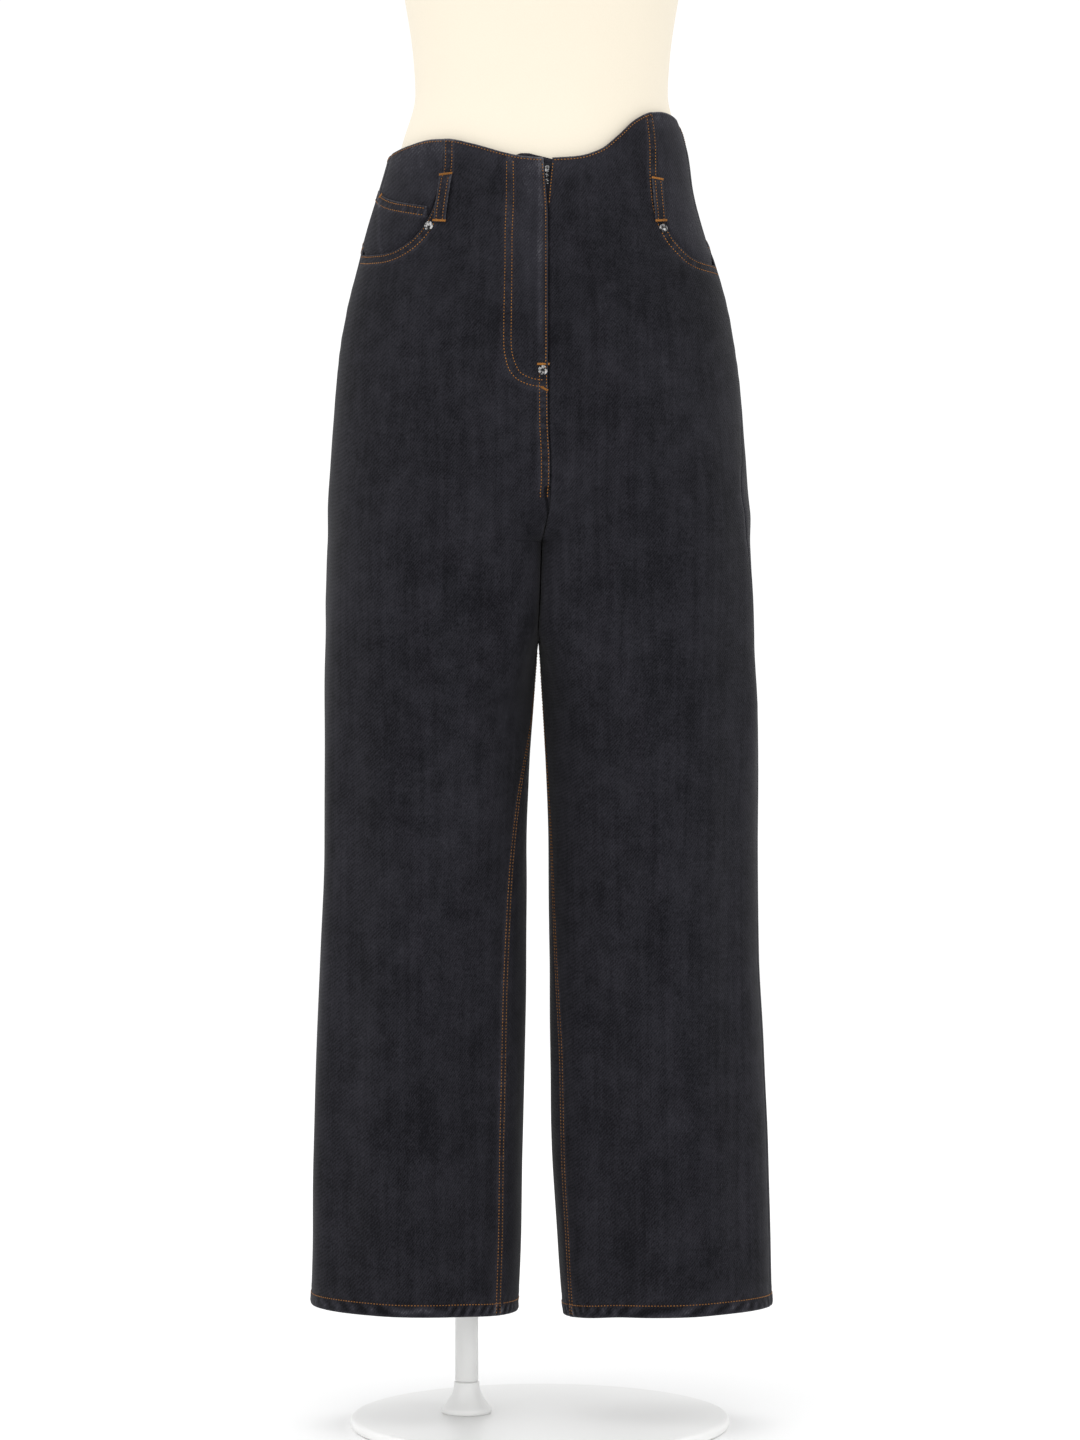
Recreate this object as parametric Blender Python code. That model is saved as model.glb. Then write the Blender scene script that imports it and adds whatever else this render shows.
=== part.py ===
"""Wide-leg jeans with a curved, uneven waist edge, standing on a limbless dress form.

Metres, +Z up. The front of the garment faces -Y and the wearer's left is +X. The origin is the
middle of the stand's underside. Every cloth panel is a patch of one garment surface, given a wall
that grows inwards, so that neighbouring panels meet edge to edge along their seams.
"""
import math

import bmesh
import bpy
import numpy as np
from mathutils import Matrix, Vector

# Cloth and seams
CLOTH = 0.0015
SEAM_GAP = 0.0003
LOOP_SEAM_GAP = 0.0006
LAYER = CLOTH + SEAM_GAP
HEM_DEPTH = 0.012
HEM_EXTRA = 0.0012

# Where the two legs join, and how high the cleft between them runs
CROTCH_Z = 0.838
FORK_RISE = 0.17
FORK_POWER = 1.5
FRONT_POWER = 2.25
BACK_POWER = 2.15
TOP_Z = 1.250

# Where the thighs press together: the front's inner corners are squarer there, and up to an angle
# the front's rows run level
PRESSED_POWER = 5.5
PRESSED_Z = (0.660, 0.770, 0.880, 0.950)
LEVEL_ANGLE = 50
BISECTIONS = 40

# Trims
LOOP_WIDTH = 0.011
LOOP_LENGTH = 0.047
LOOP_THICKNESS = 0.0018
LOOP_BOW = 0.0012
RIVET_RADIUS = 0.0046
RIVET_HEIGHT = 0.0016
SHIELD_THICKNESS = 0.0012
TAPE_THICKNESS = 0.0007
TAPE_EASE = 0.0005
SLIDER_SIZE = (0.0040, 0.0030, 0.0062)
PULL_WIDTH = 0.0018
PULL_THICKNESS = 0.0010
PULL_LENGTH = 0.0105
PULL_CROWN = 4
ZIP_X = 0.0003
SLIDER_Z = 1.1838
PULL_PIVOT_Z = 0.0010
LOOP_SEAT = 0.0006
LOOP_END_SHARE = 0.22
LOOP_ROWS = 8
MOUTH_UNDERLAP = 0.010
MOUTH_EASE = 0.0006
MOUTH_RISE = 0.024
COIN_POCKET_ROWS = slice(1, 6)
COIN_POCKET_COLUMNS = slice(1, None)

# Dress form and stand
FORM_X = 0.0015
FORM_POWER = 2.2
NECK_CAP_HEIGHT = 0.012
BASE_RADIUS = 0.180
BASE_HEIGHT = 0.010
POLE_RADIUS = 0.011
POLE_X = -0.070
POLE_Y = 0.012
FLANGE_RADIUS = 0.034
FLANGE_HEIGHT = 0.006
COLLAR_RADIUS = 0.024
COLLAR_HEIGHT = 0.030

WEARERS_LEFT = 1
WEARERS_RIGHT = -1
SIDE_NAMES = {WEARERS_LEFT: "left", WEARERS_RIGHT: "right"}

# The garment's sections from hem to waist. mid is where the two halves meet, reach and inner are
# measured from there, front, back and centre are depths.
SECTION_COLUMNS = ("z", "mid", "reach_right", "reach_left", "inner_right", "inner_left",
                   "front", "back", "centre")
SECTIONS = (
    (0.105, 0.0000, 0.2184, 0.2214, 0.0210, 0.0220, -0.082, 0.088, 0.004),
    (0.167, 0.0000, 0.2166, 0.2199, 0.0185, 0.0176, -0.083, 0.089, 0.004),
    (0.262, -0.0015, 0.2142, 0.2189, 0.0150, 0.0130, -0.085, 0.091, 0.004),
    (0.357, -0.0020, 0.2105, 0.2154, 0.0122, 0.0114, -0.087, 0.093, 0.004),
    (0.452, -0.0022, 0.2064, 0.2107, 0.0106, 0.0111, -0.090, 0.096, 0.004),
    (0.548, -0.0024, 0.2030, 0.2098, 0.0102, 0.0106, -0.094, 0.100, 0.005),
    (0.624, -0.0026, 0.2024, 0.2106, 0.0078, 0.0080, -0.098, 0.104, 0.006),
    (0.681, -0.0022, 0.2029, 0.2098, 0.0042, 0.0048, -0.102, 0.109, 0.008),
    (0.738, -0.0014, 0.2030, 0.2060, 0.0012, 0.0012, -0.106, 0.113, 0.010),
    (0.755, -0.0007, 0.2035, 0.2050, 0.0002, 0.0002, -0.107, 0.115, 0.011),
    (0.790, 0.0013, 0.2055, 0.2020, 0.0002, 0.0002, -0.109, 0.118, 0.012),
    (0.838, 0.0030, 0.2054, 0.1972, 0.0002, 0.0002, -0.112, 0.123, 0.012),
    (0.871, 0.0082, 0.2105, 0.1917, 0.0002, 0.0002, -0.113, 0.128, 0.010),
    (0.910, 0.0081, 0.2083, 0.1885, 0.0002, 0.0002, -0.114, 0.133, 0.008),
    (0.948, 0.0066, 0.2040, 0.1870, 0.0002, 0.0002, -0.114, 0.135, 0.006),
    (0.986, 0.0064, 0.2008, 0.1843, 0.0002, 0.0002, -0.113, 0.134, 0.005),
    (1.024, 0.0066, 0.1971, 0.1791, 0.0002, 0.0002, -0.111, 0.130, 0.004),
    (1.062, 0.0066, 0.1904, 0.1724, 0.0002, 0.0002, -0.108, 0.124, 0.004),
    (1.100, 0.0066, 0.1808, 0.1620, 0.0002, 0.0002, -0.104, 0.116, 0.004),
    (1.138, 0.0064, 0.1712, 0.1488, 0.0002, 0.0002, -0.099, 0.108, 0.004),
    (1.176, 0.0062, 0.1595, 0.1395, 0.0002, 0.0002, -0.094, 0.101, 0.004),
    (1.205, 0.0060, 0.1508, 0.1359, 0.0002, 0.0002, -0.090, 0.096, 0.004),
    (TOP_Z, 0.0058, 0.1380, 0.1240, 0.0002, 0.0002, -0.085, 0.091, 0.004),
)

# Height of the waist edge round each half: angle (90 front middle, 180 side, 270 back middle), z
WAIST_EDGE = {
    WEARERS_RIGHT: ((90, 1.1938), (97, 1.1957), (103, 1.1997), (114, 1.2080), (126, 1.2141),
                    (134, 1.2147), (149, 1.2112), (166, 1.2072), (190, 1.2040), (230, 1.2050),
                    (270, 1.2070)),
    WEARERS_LEFT: ((90, 1.1938), (100, 1.1958), (109, 1.2029), (117, 1.2160), (127.4, 1.2323),
                   (138.8, 1.2411), (150, 1.2432), (165, 1.2403), (172.6, 1.2327), (182, 1.2200),
                   (195, 1.2100), (215, 1.2060), (240, 1.2060), (270, 1.2070)),
}

# The side seam's angle by height, and the inner leg seam's
SIDE_SEAM = {
    WEARERS_RIGHT: ((0.105, 186), (0.60, 184), (0.95, 182), (1.05, 177), (1.10, 171), (1.16, 168),
                    (TOP_Z, 168)),
    WEARERS_LEFT: ((0.105, 167), (0.40, 168), (0.60, 170), (0.69, 165), (0.80, 160), (0.88, 155),
                   (0.93, 166), (0.99, 175), (1.06, 175), (1.10, 172), (1.16, 170), (TOP_Z, 170)),
}
INNER_SEAM = {
    WEARERS_RIGHT: ((0.105, 35), (0.40, 36), (0.50, 33), (0.595, 24), (0.681, 7), (0.76, 2),
                    (CROTCH_Z, 0)),
    WEARERS_LEFT: ((0.105, 22), (0.34, 25), (0.442, 19), (0.574, 11), (0.681, 5), (0.76, 2),
                   (CROTCH_Z, 0)),
}

# The front pocket mouth from the side seam to the belt loop, then the seam up to the waist: angle, z
POCKET_MOUTH = {
    WEARERS_RIGHT: ((170.0, 1.1117), (157.2, 1.1090), (147.8, 1.1083), (141.6, 1.1101),
                    (136.3, 1.1152), (132.8, 1.1212), (130.3, 1.1280), (128.1, 1.1378),
                    (126.1, 1.1535)),
    WEARERS_LEFT: ((172.0, 1.1010), (158.8, 1.1012), (151.4, 1.1021), (145.5, 1.1050),
                   (139.6, 1.1152), (137.0, 1.1235), (135.7, 1.1318), (134.9, 1.1405),
                   (134.6, 1.1528)),
}
LOOP_SEAM = {
    WEARERS_RIGHT: ((125.4, 1.1830), (127.6, TOP_Z)),
    WEARERS_LEFT: ((136.1, 1.1862), (140.0, TOP_Z)),
}
COIN_POCKET_TOP = ((127.5, 1.1494), (134.7, 1.1540), (142.7, 1.1580), (153.9, 1.1639), (170, 1.1719))

# How far each edge of the fly stands off the middle line at the gaping top: z, right, left
FLY_GAPE = ((1.138, 0.0, 0.0), (1.159, 0.0003, 0.0017), (1.1695, 0.0008, 0.0027),
            (1.184, 0.0019, 0.0042), (1.1938, 0.0027, 0.0053))

# The zip tape's columns and ends, and the shield's top: distance from the middle line, z
TAPE_COLUMNS = (-0.008, -0.005, -0.002, 0.0, 0.005, 0.010)
TAPE_LOW_Z, TAPE_TOP_Z = 1.020, 1.1890
SHIELD_LOW_Z = 1.000
SHIELD_TOP = ((-0.0295, 1.1972), (-0.0235, 1.1991), (-0.0180, 1.1991), (-0.0100, 1.1974),
              (-0.0014, 1.1953), (0.0050, 1.1936), (0.0120, 1.1925))
FLY_STRIP_ROWS = 10

# Soft folds: side, angle, angular width, depth outwards, lowest and highest z
FOLD_COLUMNS = ("side", "angle", "width", "depth", "low", "high")
FOLDS = (
    (WEARERS_RIGHT, 62, 15, -0.0045, 0.05, 0.62),
    (WEARERS_RIGHT, 96, 14, 0.0030, 0.05, 0.80),
    (WEARERS_RIGHT, 128, 15, -0.0040, 0.10, 0.92),
    (WEARERS_RIGHT, 155, 12, 0.0030, 0.10, 0.95),
    (WEARERS_RIGHT, 222, 18, -0.0060, 0.05, 0.80),
    (WEARERS_RIGHT, 262, 18, 0.0045, 0.05, 0.74),
    (WEARERS_RIGHT, 306, 18, -0.0060, 0.05, 0.66),
    (WEARERS_LEFT, 62, 15, -0.0080, 0.02, 0.50),
    (WEARERS_LEFT, 100, 14, 0.0035, 0.02, 0.72),
    (WEARERS_LEFT, 133, 14, -0.0040, 0.12, 0.90),
    (WEARERS_LEFT, 156, 10, 0.0030, 0.60, 0.96),
    (WEARERS_LEFT, 226, 18, -0.0060, 0.05, 0.80),
    (WEARERS_LEFT, 266, 18, 0.0045, 0.05, 0.74),
    (WEARERS_LEFT, 308, 18, -0.0060, 0.05, 0.66),
)

# Where each leg's cloth ends: middle height, how much lower the inner side hangs, the front's arch
HEM = {WEARERS_RIGHT: (0.1138, 0.0032, 0.0010), WEARERS_LEFT: (0.1110, 0.0045, 0.0035)}

# Rows of a leg panel from above the hem: height on its inner edge, height on its outer edge
LEG_ROWS = (
    (0.165, 0.165), (0.240, 0.240), (0.320, 0.320), (0.400, 0.400), (0.470, 0.470),
    (0.535, 0.535), (0.590, 0.590), (0.640, 0.640), (0.690, 0.690), (0.735, 0.735),
    (0.775, 0.777), (0.812, 0.818), (0.832, 0.842), (CROTCH_Z, 0.856), (0.8388, 0.864),
    (0.8415, 0.873), (0.8465, 0.885), (0.8555, 0.901), (0.8710, 0.922),
)
FRONT_ROWS = (
    (0.8900, 0.950), (0.9100, 0.972), (0.9350, 0.997), (0.9600, 1.022), (0.9800, 1.045),
    (1.0000, 1.068), (1.0150, 1.088),
)
FRONT_COLUMNS = 12
FRONT_TOP_ROWS = (1.028, 1.041, 1.055, 1.068, 1.080, 1.094, 1.108, 1.124, 1.142, 1.162, TOP_Z)

# The back yoke's lower edge at the side seam and at the back middle
YOKE_SIDE_Z = 1.128
YOKE_MIDDLE_Z = 1.092

# Rows of the back above the leg rows, bent to the outline of its patch pocket: height on the side
# seam, at the pocket's edges, at its middle and on the seat seam
BACK_ROWS = (
    (0.950, 0.945, 0.928, 0.8900), (0.972, 0.963, 0.956, 0.9150), (0.997, 0.986, 0.984, 0.9450),
    (1.022, 1.010, 1.010, 0.9750), (1.045, 1.032, 1.032, 1.0000), (1.068, 1.053, 1.053, 1.0250),
    (1.088, 1.072, 1.072, 1.0480),
)
POCKET_ROW_COUNT = 7
ABOVE_POCKET_Z = (1.091, 1.0700)
BACK_COLUMNS = 13
POCKET_COLUMNS = (3, 6, 9)

# Heights of the rows that the hip panel and the yoke share on the side seam, and where the coin
# pocket's top edge or the same row of the plain hip panel meets it
HIP_ROWS_BELOW = (0.42, 1.0)
HIP_ROWS_ABOVE = (0.35, 0.7, 1.0)
HIP_BREAK_Z = {WEARERS_RIGHT: 1.1719, WEARERS_LEFT: 1.1720}
PLAIN_BREAK = 0.38

# Belt loops: name, side, angle and z at the top end, angle and z at the lower end
BELT_LOOPS = (
    ("belt_loop_front_right", WEARERS_RIGHT, 123.4, 1.1811, 122.7, 1.1351),
    ("belt_loop_front_left", WEARERS_LEFT, 135.0, 1.1784, 132.6, 1.1364),
    ("belt_loop_back_right", WEARERS_RIGHT, 222.0, 1.1900, 222.0, 1.1430),
    ("belt_loop_back_left", WEARERS_LEFT, 222.0, 1.1900, 222.0, 1.1430),
)
MIDDLE_LOOP_TOP_Z = 1.1900

# Rivets: name, side, angle, z
RIVETS = (
    ("rivet_pocket_right", WEARERS_RIGHT, 126.9, 1.1319),
    ("rivet_pocket_left", WEARERS_LEFT, 133.5, 1.1302),
    ("rivet_fly", WEARERS_RIGHT, 89.9, 0.9948),
)

# The dress form's rings: z, half width, front, back
FORM_RINGS = (
    (0.885, 0.120, -0.055, 0.070), (0.889, 0.138, -0.068, 0.086), (0.910, 0.151, -0.079, 0.100),
    (0.950, 0.160, -0.087, 0.110), (1.000, 0.165, -0.091, 0.115), (1.060, 0.164, -0.092, 0.112),
    (1.100, 0.1575, -0.0915, 0.104), (1.138, 0.1490, -0.0895, 0.0965),
    (1.176, 0.1420, -0.0865, 0.0915), (1.216, 0.1338, -0.0830, 0.0875),
    (1.267, 0.1205, -0.0800, 0.0830), (1.300, 0.1224, -0.0810, 0.0840),
    (1.357, 0.1307, -0.0880, 0.0900), (1.410, 0.1420, -0.1040, 0.0950),
    (1.450, 0.1500, -0.1110, 0.0980), (1.500, 0.1580, -0.1030, 0.0980),
    (1.550, 0.1700, -0.0870, 0.0930), (1.590, 0.1790, -0.0760, 0.0860),
    (1.615, 0.1770, -0.0680, 0.0770), (1.632, 0.1600, -0.0620, 0.0700),
    (1.648, 0.1250, -0.0560, 0.0640), (1.662, 0.0880, -0.0510, 0.0590),
    (1.680, 0.0620, -0.0480, 0.0560), (1.730, 0.0540, -0.0470, 0.0540),
)
FORM_SEGMENTS = 32

# Colours, as linear red, green and blue
DENIM = (0.021, 0.021, 0.027)
METAL = (0.60, 0.58, 0.55)
FORM_CREAM = (0.90, 0.84, 0.72)
STAND_WHITE = (0.80, 0.80, 0.79)


def smooth_curve(points):
    """A curve through (x, y) points that never swings past them."""
    xs = np.array([p[0] for p in points], float)
    ys = np.array([p[1] for p in points], float)
    run = np.diff(xs)
    rise = np.diff(ys) / run
    slope = np.zeros(len(xs))
    slope[0], slope[-1] = rise[0], rise[-1]
    for i in range(1, len(xs) - 1):
        if rise[i - 1] * rise[i] > 0:
            near, far = 2 * run[i] + run[i - 1], run[i] + 2 * run[i - 1]
            slope[i] = (near + far) / (near / rise[i - 1] + far / rise[i])

    def value(x):
        x = np.clip(np.asarray(x, float), xs[0], xs[-1])
        i = np.clip(np.searchsorted(xs, x) - 1, 0, len(xs) - 2)
        t = (x - xs[i]) / run[i]
        start = (1 + 2 * t) * (1 - t) ** 2 * ys[i] + t * (1 - t) ** 2 * run[i] * slope[i]
        end = t * t * (3 - 2 * t) * ys[i + 1] + t * t * (t - 1) * run[i] * slope[i + 1]
        return start + end

    return value


def smoothstep(t):
    t = np.clip(t, 0.0, 1.0)
    return t * t * (3 - 2 * t)


section = {
    name: smooth_curve([(row[0], row[i]) for row in SECTIONS])
    for i, name in enumerate(SECTION_COLUMNS)
}
waist_edge = {side: smooth_curve(points) for side, points in WAIST_EDGE.items()}
side_seam = {side: smooth_curve(points) for side, points in SIDE_SEAM.items()}
inner_seam = {side: smooth_curve(points) for side, points in INNER_SEAM.items()}
fly_gape = {
    WEARERS_RIGHT: smooth_curve([(z, right) for z, right, _ in FLY_GAPE]),
    WEARERS_LEFT: smooth_curve([(z, left) for z, _, left in FLY_GAPE]),
}


def fork(z):
    """1 where the legs part at the crotch, falling to 0 where the front runs straight across."""
    return (1 - np.clip((z - CROTCH_Z) / FORK_RISE, 0, 1)) ** FORK_POWER


def pressed(z):
    """How squarely the other leg presses the front's inner corner at a height, from 0 to 1."""
    low, full, fading, high = PRESSED_Z
    return smoothstep((z - low) / (full - low)) * smoothstep((high - z) / (high - fading))


def outline(angle, z):
    """Where a half's outline runs at an angle, as shares of its half width and of its depth."""
    turn = np.radians(angle)
    cosine, sine = np.cos(turn), np.sin(turn)
    power = np.where(sine >= 0, FRONT_POWER, BACK_POWER)
    across = np.sign(cosine) * np.abs(cosine) ** (2 / power)
    deep = np.abs(sine) ** (2 / power)
    square = (np.abs(cosine) ** PRESSED_POWER + np.abs(sine) ** PRESSED_POWER) ** (1 / PRESSED_POWER)
    share = np.where((cosine > 0) & (sine > 0), pressed(z), 0.0)
    return across + share * (cosine / square - across), deep + share * (sine / square - deep)


def body_surface(side, angle, z):
    """Points of the garment's outer surface before its folds. The angle runs from 0 at the inner
    leg through 90 in front and 180 at the side to 270 behind."""
    name = SIDE_NAMES[side]
    reach, inner = section["reach_" + name](z), section["inner_" + name](z)
    merge = np.where(z > CROTCH_Z, fork(z), 1.0)
    half_width = (reach - inner) / (1 + merge)
    across, deep = outline(angle, z)
    out = inner + (merge - across) * half_width
    centre = section["centre"](z)
    depth = np.where(np.sin(np.radians(angle)) >= 0, section["front"](z), section["back"](z)) - centre
    return np.stack([section["mid"](z) + side * out, centre + depth * deep, z + 0 * out], -1)


def surface_normal(surface, side, angle, z):
    """Outward unit normals of a surface function."""
    d_angle, d_z = 0.05, 0.0002
    across = surface(side, angle + d_angle, z) - surface(side, angle - d_angle, z)
    along = surface(side, angle, z + d_z) - surface(side, angle, z - d_z)
    normal = side * np.cross(across, along)
    return normal / np.linalg.norm(normal, axis=-1, keepdims=True)


def fold_depth(side, angle, z):
    """How far the soft folds stand out from the body surface."""
    total = np.zeros(np.broadcast(angle, z).shape)
    for fold in FOLDS:
        row = dict(zip(FOLD_COLUMNS, fold))
        if row["side"] != side:
            continue
        fade = 0.45 * (row["high"] - row["low"])
        along = smoothstep((z - row["low"]) / 0.08) * smoothstep((row["high"] - z) / fade)
        total = total + row["depth"] * along * np.exp(-(((angle - row["angle"]) / row["width"]) ** 2))
    return total


def garment(side, angle, z):
    """Points of the garment's outer surface, folds included."""
    angle, z = np.asarray(angle, float), np.asarray(z, float)
    normal = surface_normal(body_surface, side, angle, z)
    return body_surface(side, angle, z) + normal * fold_depth(side, angle, z)[..., None]


def middle_angle(z, in_front):
    """The angle at which a half's surface reaches the middle line."""
    merge = np.where(z > CROTCH_Z, fork(z), 1.0)
    if not in_front:
        return 360 - np.degrees(np.arccos(merge ** (BACK_POWER / 2)))
    low, high = np.zeros(np.shape(merge)), np.full(np.shape(merge), 90.0)
    for _ in range(BISECTIONS):
        half = (low + high) / 2
        short = outline(half, z)[0] > merge
        low, high = np.where(short, half, low), np.where(short, high, half)
    return high


def shifted_angle(side, angle, z, distance):
    """The angle a distance further round at one height."""
    step = 0.1
    ahead = body_surface(side, angle + step, z)
    behind = body_surface(side, angle - step, z)
    return angle + distance * 2 * step / np.linalg.norm(ahead - behind, axis=-1)


def angle_at(side, out, z):
    """The angle on the upper front at a distance out from the middle line."""
    share = np.clip(out / section["reach_" + SIDE_NAMES[side]](z), 0, 1)
    return 90 + np.degrees(np.arcsin(share ** (FRONT_POWER / 2)))


def hem_z(side, angle):
    """Height of the hem round a leg: it drops towards the inner leg and arches up in front."""
    height, drop, arch = HEM[side]
    turn = np.radians(angle)
    return height - drop * np.cos(turn) + arch * np.maximum(np.sin(turn), 0)


def make_object(name, vertices, faces, colour, roughness, metallic=0.0):
    """One closed piece with its own material."""
    mesh = bpy.data.meshes.new(name)
    mesh.from_pydata([tuple(map(float, v)) for v in vertices], [], faces)
    mesh.update()
    material = bpy.data.materials.new(name)
    material.use_nodes = True
    shader = material.node_tree.nodes["Principled BSDF"]
    shader.inputs["Base Color"].default_value = (*colour, 1.0)
    shader.inputs["Roughness"].default_value = roughness
    shader.inputs["Metallic"].default_value = metallic
    mesh.materials.append(material)
    mesh.shade_smooth()
    mesh.set_sharp_from_angle(angle=math.radians(40))
    piece = bpy.data.objects.new(name, mesh)
    bpy.context.scene.collection.objects.link(piece)
    return piece


def wall(name, points, normals, outer, inner, flip, colour=DENIM):
    """A closed wall from a grid of surface points: outer and inner are its faces' distances out."""
    rows, columns = points.shape[:2]
    outer = np.broadcast_to(outer, (rows, columns))
    inner = np.broadcast_to(inner, (rows, columns))
    vertices = np.concatenate([
        (points + normals * outer[..., None]).reshape(-1, 3),
        (points + normals * inner[..., None]).reshape(-1, 3),
    ])
    back = rows * columns

    def at(row, column):
        return row * columns + column

    faces = []
    for row in range(rows - 1):
        for column in range(columns - 1):
            near, next_near = at(row, column), at(row, column + 1)
            far, next_far = at(row + 1, column), at(row + 1, column + 1)
            for face in ((near, next_near, next_far), (near, next_far, far)):
                faces.append(face)
                faces.append(tuple(back + v for v in reversed(face)))
    border = [at(0, c) for c in range(columns)]
    border += [at(r, columns - 1) for r in range(1, rows)]
    border += [at(rows - 1, c) for c in range(columns - 2, -1, -1)]
    border += [at(r, 0) for r in range(rows - 2, 0, -1)]
    for here, there in zip(border, border[1:] + border[:1]):
        faces.append((here, here + back, there + back, there))
    if flip:
        faces = [tuple(reversed(face)) for face in faces]
    return make_object(name, vertices, faces, colour, 0.85)


def patch(name, side, angles, heights, outer=0.0, inner=-CLOTH):
    """A wall on the garment surface from grids of angles and heights. Returns points and normals."""
    points = garment(side, angles, heights)
    normals = surface_normal(garment, side, angles, heights)
    wall(name, points, normals, outer, inner, side < 0)
    return points, normals


def hem_thickness(side, angles, heights):
    """How much further in the wall reaches where the hem is turned up."""
    above = heights - hem_z(side, angles)
    return np.where(above < HEM_DEPTH + 0.001, HEM_EXTRA, 0.0)


def between(start, end, columns):
    """Rows of values that run evenly from start to end."""
    share = np.linspace(0, 1, columns)
    return np.asarray(start)[:, None] * (1 - share) + np.asarray(end)[:, None] * share


def leg_edges(side):
    """Heights of the hem rows and the leg rows, on the inner and the outer edge."""
    hem = [HEM[side][0], HEM[side][0] + HEM_DEPTH]
    return hem + [row[0] for row in LEG_ROWS], hem + [row[1] for row in LEG_ROWS]


def seam_start(side, z, in_front):
    """The angle of a panel's edge along the middle line and the inner leg seam."""
    above = z > CROTCH_Z
    below_angle = inner_seam[side](z) + (0 if in_front else 360)
    angle = np.where(above, middle_angle(z, in_front), below_angle)
    gap = np.where(above, 0.0, SEAM_GAP / 2) * (1 if in_front else -1)
    return shifted_angle(side, angle, z, gap)


def settle_hem(side, angles, heights):
    """Moves the two lowest rows of a leg panel onto the hem."""
    heights[0] = hem_z(side, angles[0])
    heights[1] = hem_z(side, angles[1]) + HEM_DEPTH
    return heights


def front_panel(side):
    """The front from the hem to the waist: its outer edge follows the side seam, the pocket mouth
    and the seam under the belt loop."""
    inner_z, outer_z = leg_edges(side)
    inner_z += [row[0] for row in FRONT_ROWS]
    outer_z += [row[1] for row in FRONT_ROWS]
    seam_z = np.array(outer_z)
    mouth = POCKET_MOUTH[side] + LOOP_SEAM[side]
    start_z = np.array(inner_z + list(FRONT_TOP_ROWS))
    start_z[-1] = waist_edge[side](90)
    end_z = np.array(outer_z + [z for _, z in mouth])
    end_z[-1] = waist_edge[side](mouth[-1][0])
    seam = shifted_angle(side, side_seam[side](seam_z), seam_z, -SEAM_GAP / 2)
    end_angle = np.concatenate([seam, [angle for angle, _ in mouth]])
    gape = np.where(start_z > FLY_GAPE[0][0], fly_gape[side](start_z), 0.0)
    start_angle = np.where(gape > 0, angle_at(side, gape, start_z), seam_start(side, start_z, True))
    angles = between(start_angle, end_angle, FRONT_COLUMNS)
    level = np.maximum(start_angle, LEVEL_ANGLE)[:, None]
    rise = np.clip((angles - level) / (end_angle[:, None] - level), 0, 1)
    heights = start_z[:, None] + (end_z - start_z)[:, None] * rise
    top_count = len(FRONT_TOP_ROWS)
    share = (np.arange(1, top_count + 1) / top_count) ** 1.5
    wave = waist_edge[side](angles[-1]) - heights[-1]
    heights[-top_count:] += share[:, None] * wave
    heights = settle_hem(side, angles, heights)
    inner = -CLOTH - hem_thickness(side, angles, heights)
    patch(f"front_{SIDE_NAMES[side]}", side, angles, heights, 0.0, inner)


def back_panel(side):
    """The back from the hem to the yoke, and the patch pocket made of its own points moved out."""
    inner_z, outer_z = leg_edges(side)
    bends = [(outer, None, None, inner) for inner, outer in zip(inner_z, outer_z)]
    bends += list(BACK_ROWS)
    above_edge, above_inner = ABOVE_POCKET_Z
    bends.append((POCKET_MOUTH[side][0][1], above_edge, above_edge, above_inner))
    bends.append((YOKE_SIDE_Z - SEAM_GAP / 2, None, None, YOKE_MIDDLE_Z - SEAM_GAP / 2))
    first, middle, last = POCKET_COLUMNS
    column = np.arange(BACK_COLUMNS)
    heights = []
    for outer, edge, point, inner in bends:
        if edge is None:
            heights.append(np.linspace(outer, inner, BACK_COLUMNS))
        else:
            stops = (0, first, middle, last, BACK_COLUMNS - 1)
            heights.append(np.interp(column, stops, (outer, edge, point, edge, inner)))
    heights = np.array(heights)
    seam = shifted_angle(side, side_seam[side](heights[:, 0]), heights[:, 0], SEAM_GAP / 2)
    angles = between(seam, seam_start(side, heights[:, -1], False), BACK_COLUMNS)
    heights = settle_hem(side, angles, heights)
    inner = -CLOTH - hem_thickness(side, angles, heights)
    points, normals = patch(f"back_{SIDE_NAMES[side]}", side, angles, heights, 0.0, inner)
    low = len(inner_z)
    rows, columns = slice(low, low + POCKET_ROW_COUNT), slice(first, last + 1)
    wall(f"back_pocket_{SIDE_NAMES[side]}", points[rows, columns], normals[rows, columns],
         LAYER, SEAM_GAP, side < 0)


def seam_top(side):
    """Where the side seam meets the waist edge."""
    angle = side_seam[side](TOP_Z)
    return float(waist_edge[side](angle))


def seam_nodes(side):
    """Heights on the side seam, from the yoke's lower edge up, that both its sides use."""
    middle, top = HIP_BREAK_Z[side], seam_top(side)
    below = [YOKE_SIDE_Z + (middle - YOKE_SIDE_Z) * share for share in (0.0, *HIP_ROWS_BELOW)]
    return below + [middle + (top - middle) * share for share in HIP_ROWS_ABOVE]


def back_yoke(side):
    """The shaped panel between the back and the waist edge."""
    nodes = np.array(seam_nodes(side))
    low = np.linspace(YOKE_SIDE_Z, YOKE_MIDDLE_Z, BACK_COLUMNS) + SEAM_GAP / 2
    side_angle = side_seam[side](TOP_Z)
    high = waist_edge[side](np.linspace(side_angle, 270, BACK_COLUMNS))
    share = ((nodes - nodes[0]) / (nodes[-1] - nodes[0]))[:, None]
    heights = low * (1 - share) + high * share
    seam = shifted_angle(side, side_seam[side](heights[:, 0]), heights[:, 0], SEAM_GAP / 2)
    angles = between(seam, seam_start(side, heights[:, -1], False), BACK_COLUMNS)
    patch(f"back_yoke_{SIDE_NAMES[side]}", side, angles, heights)


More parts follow.
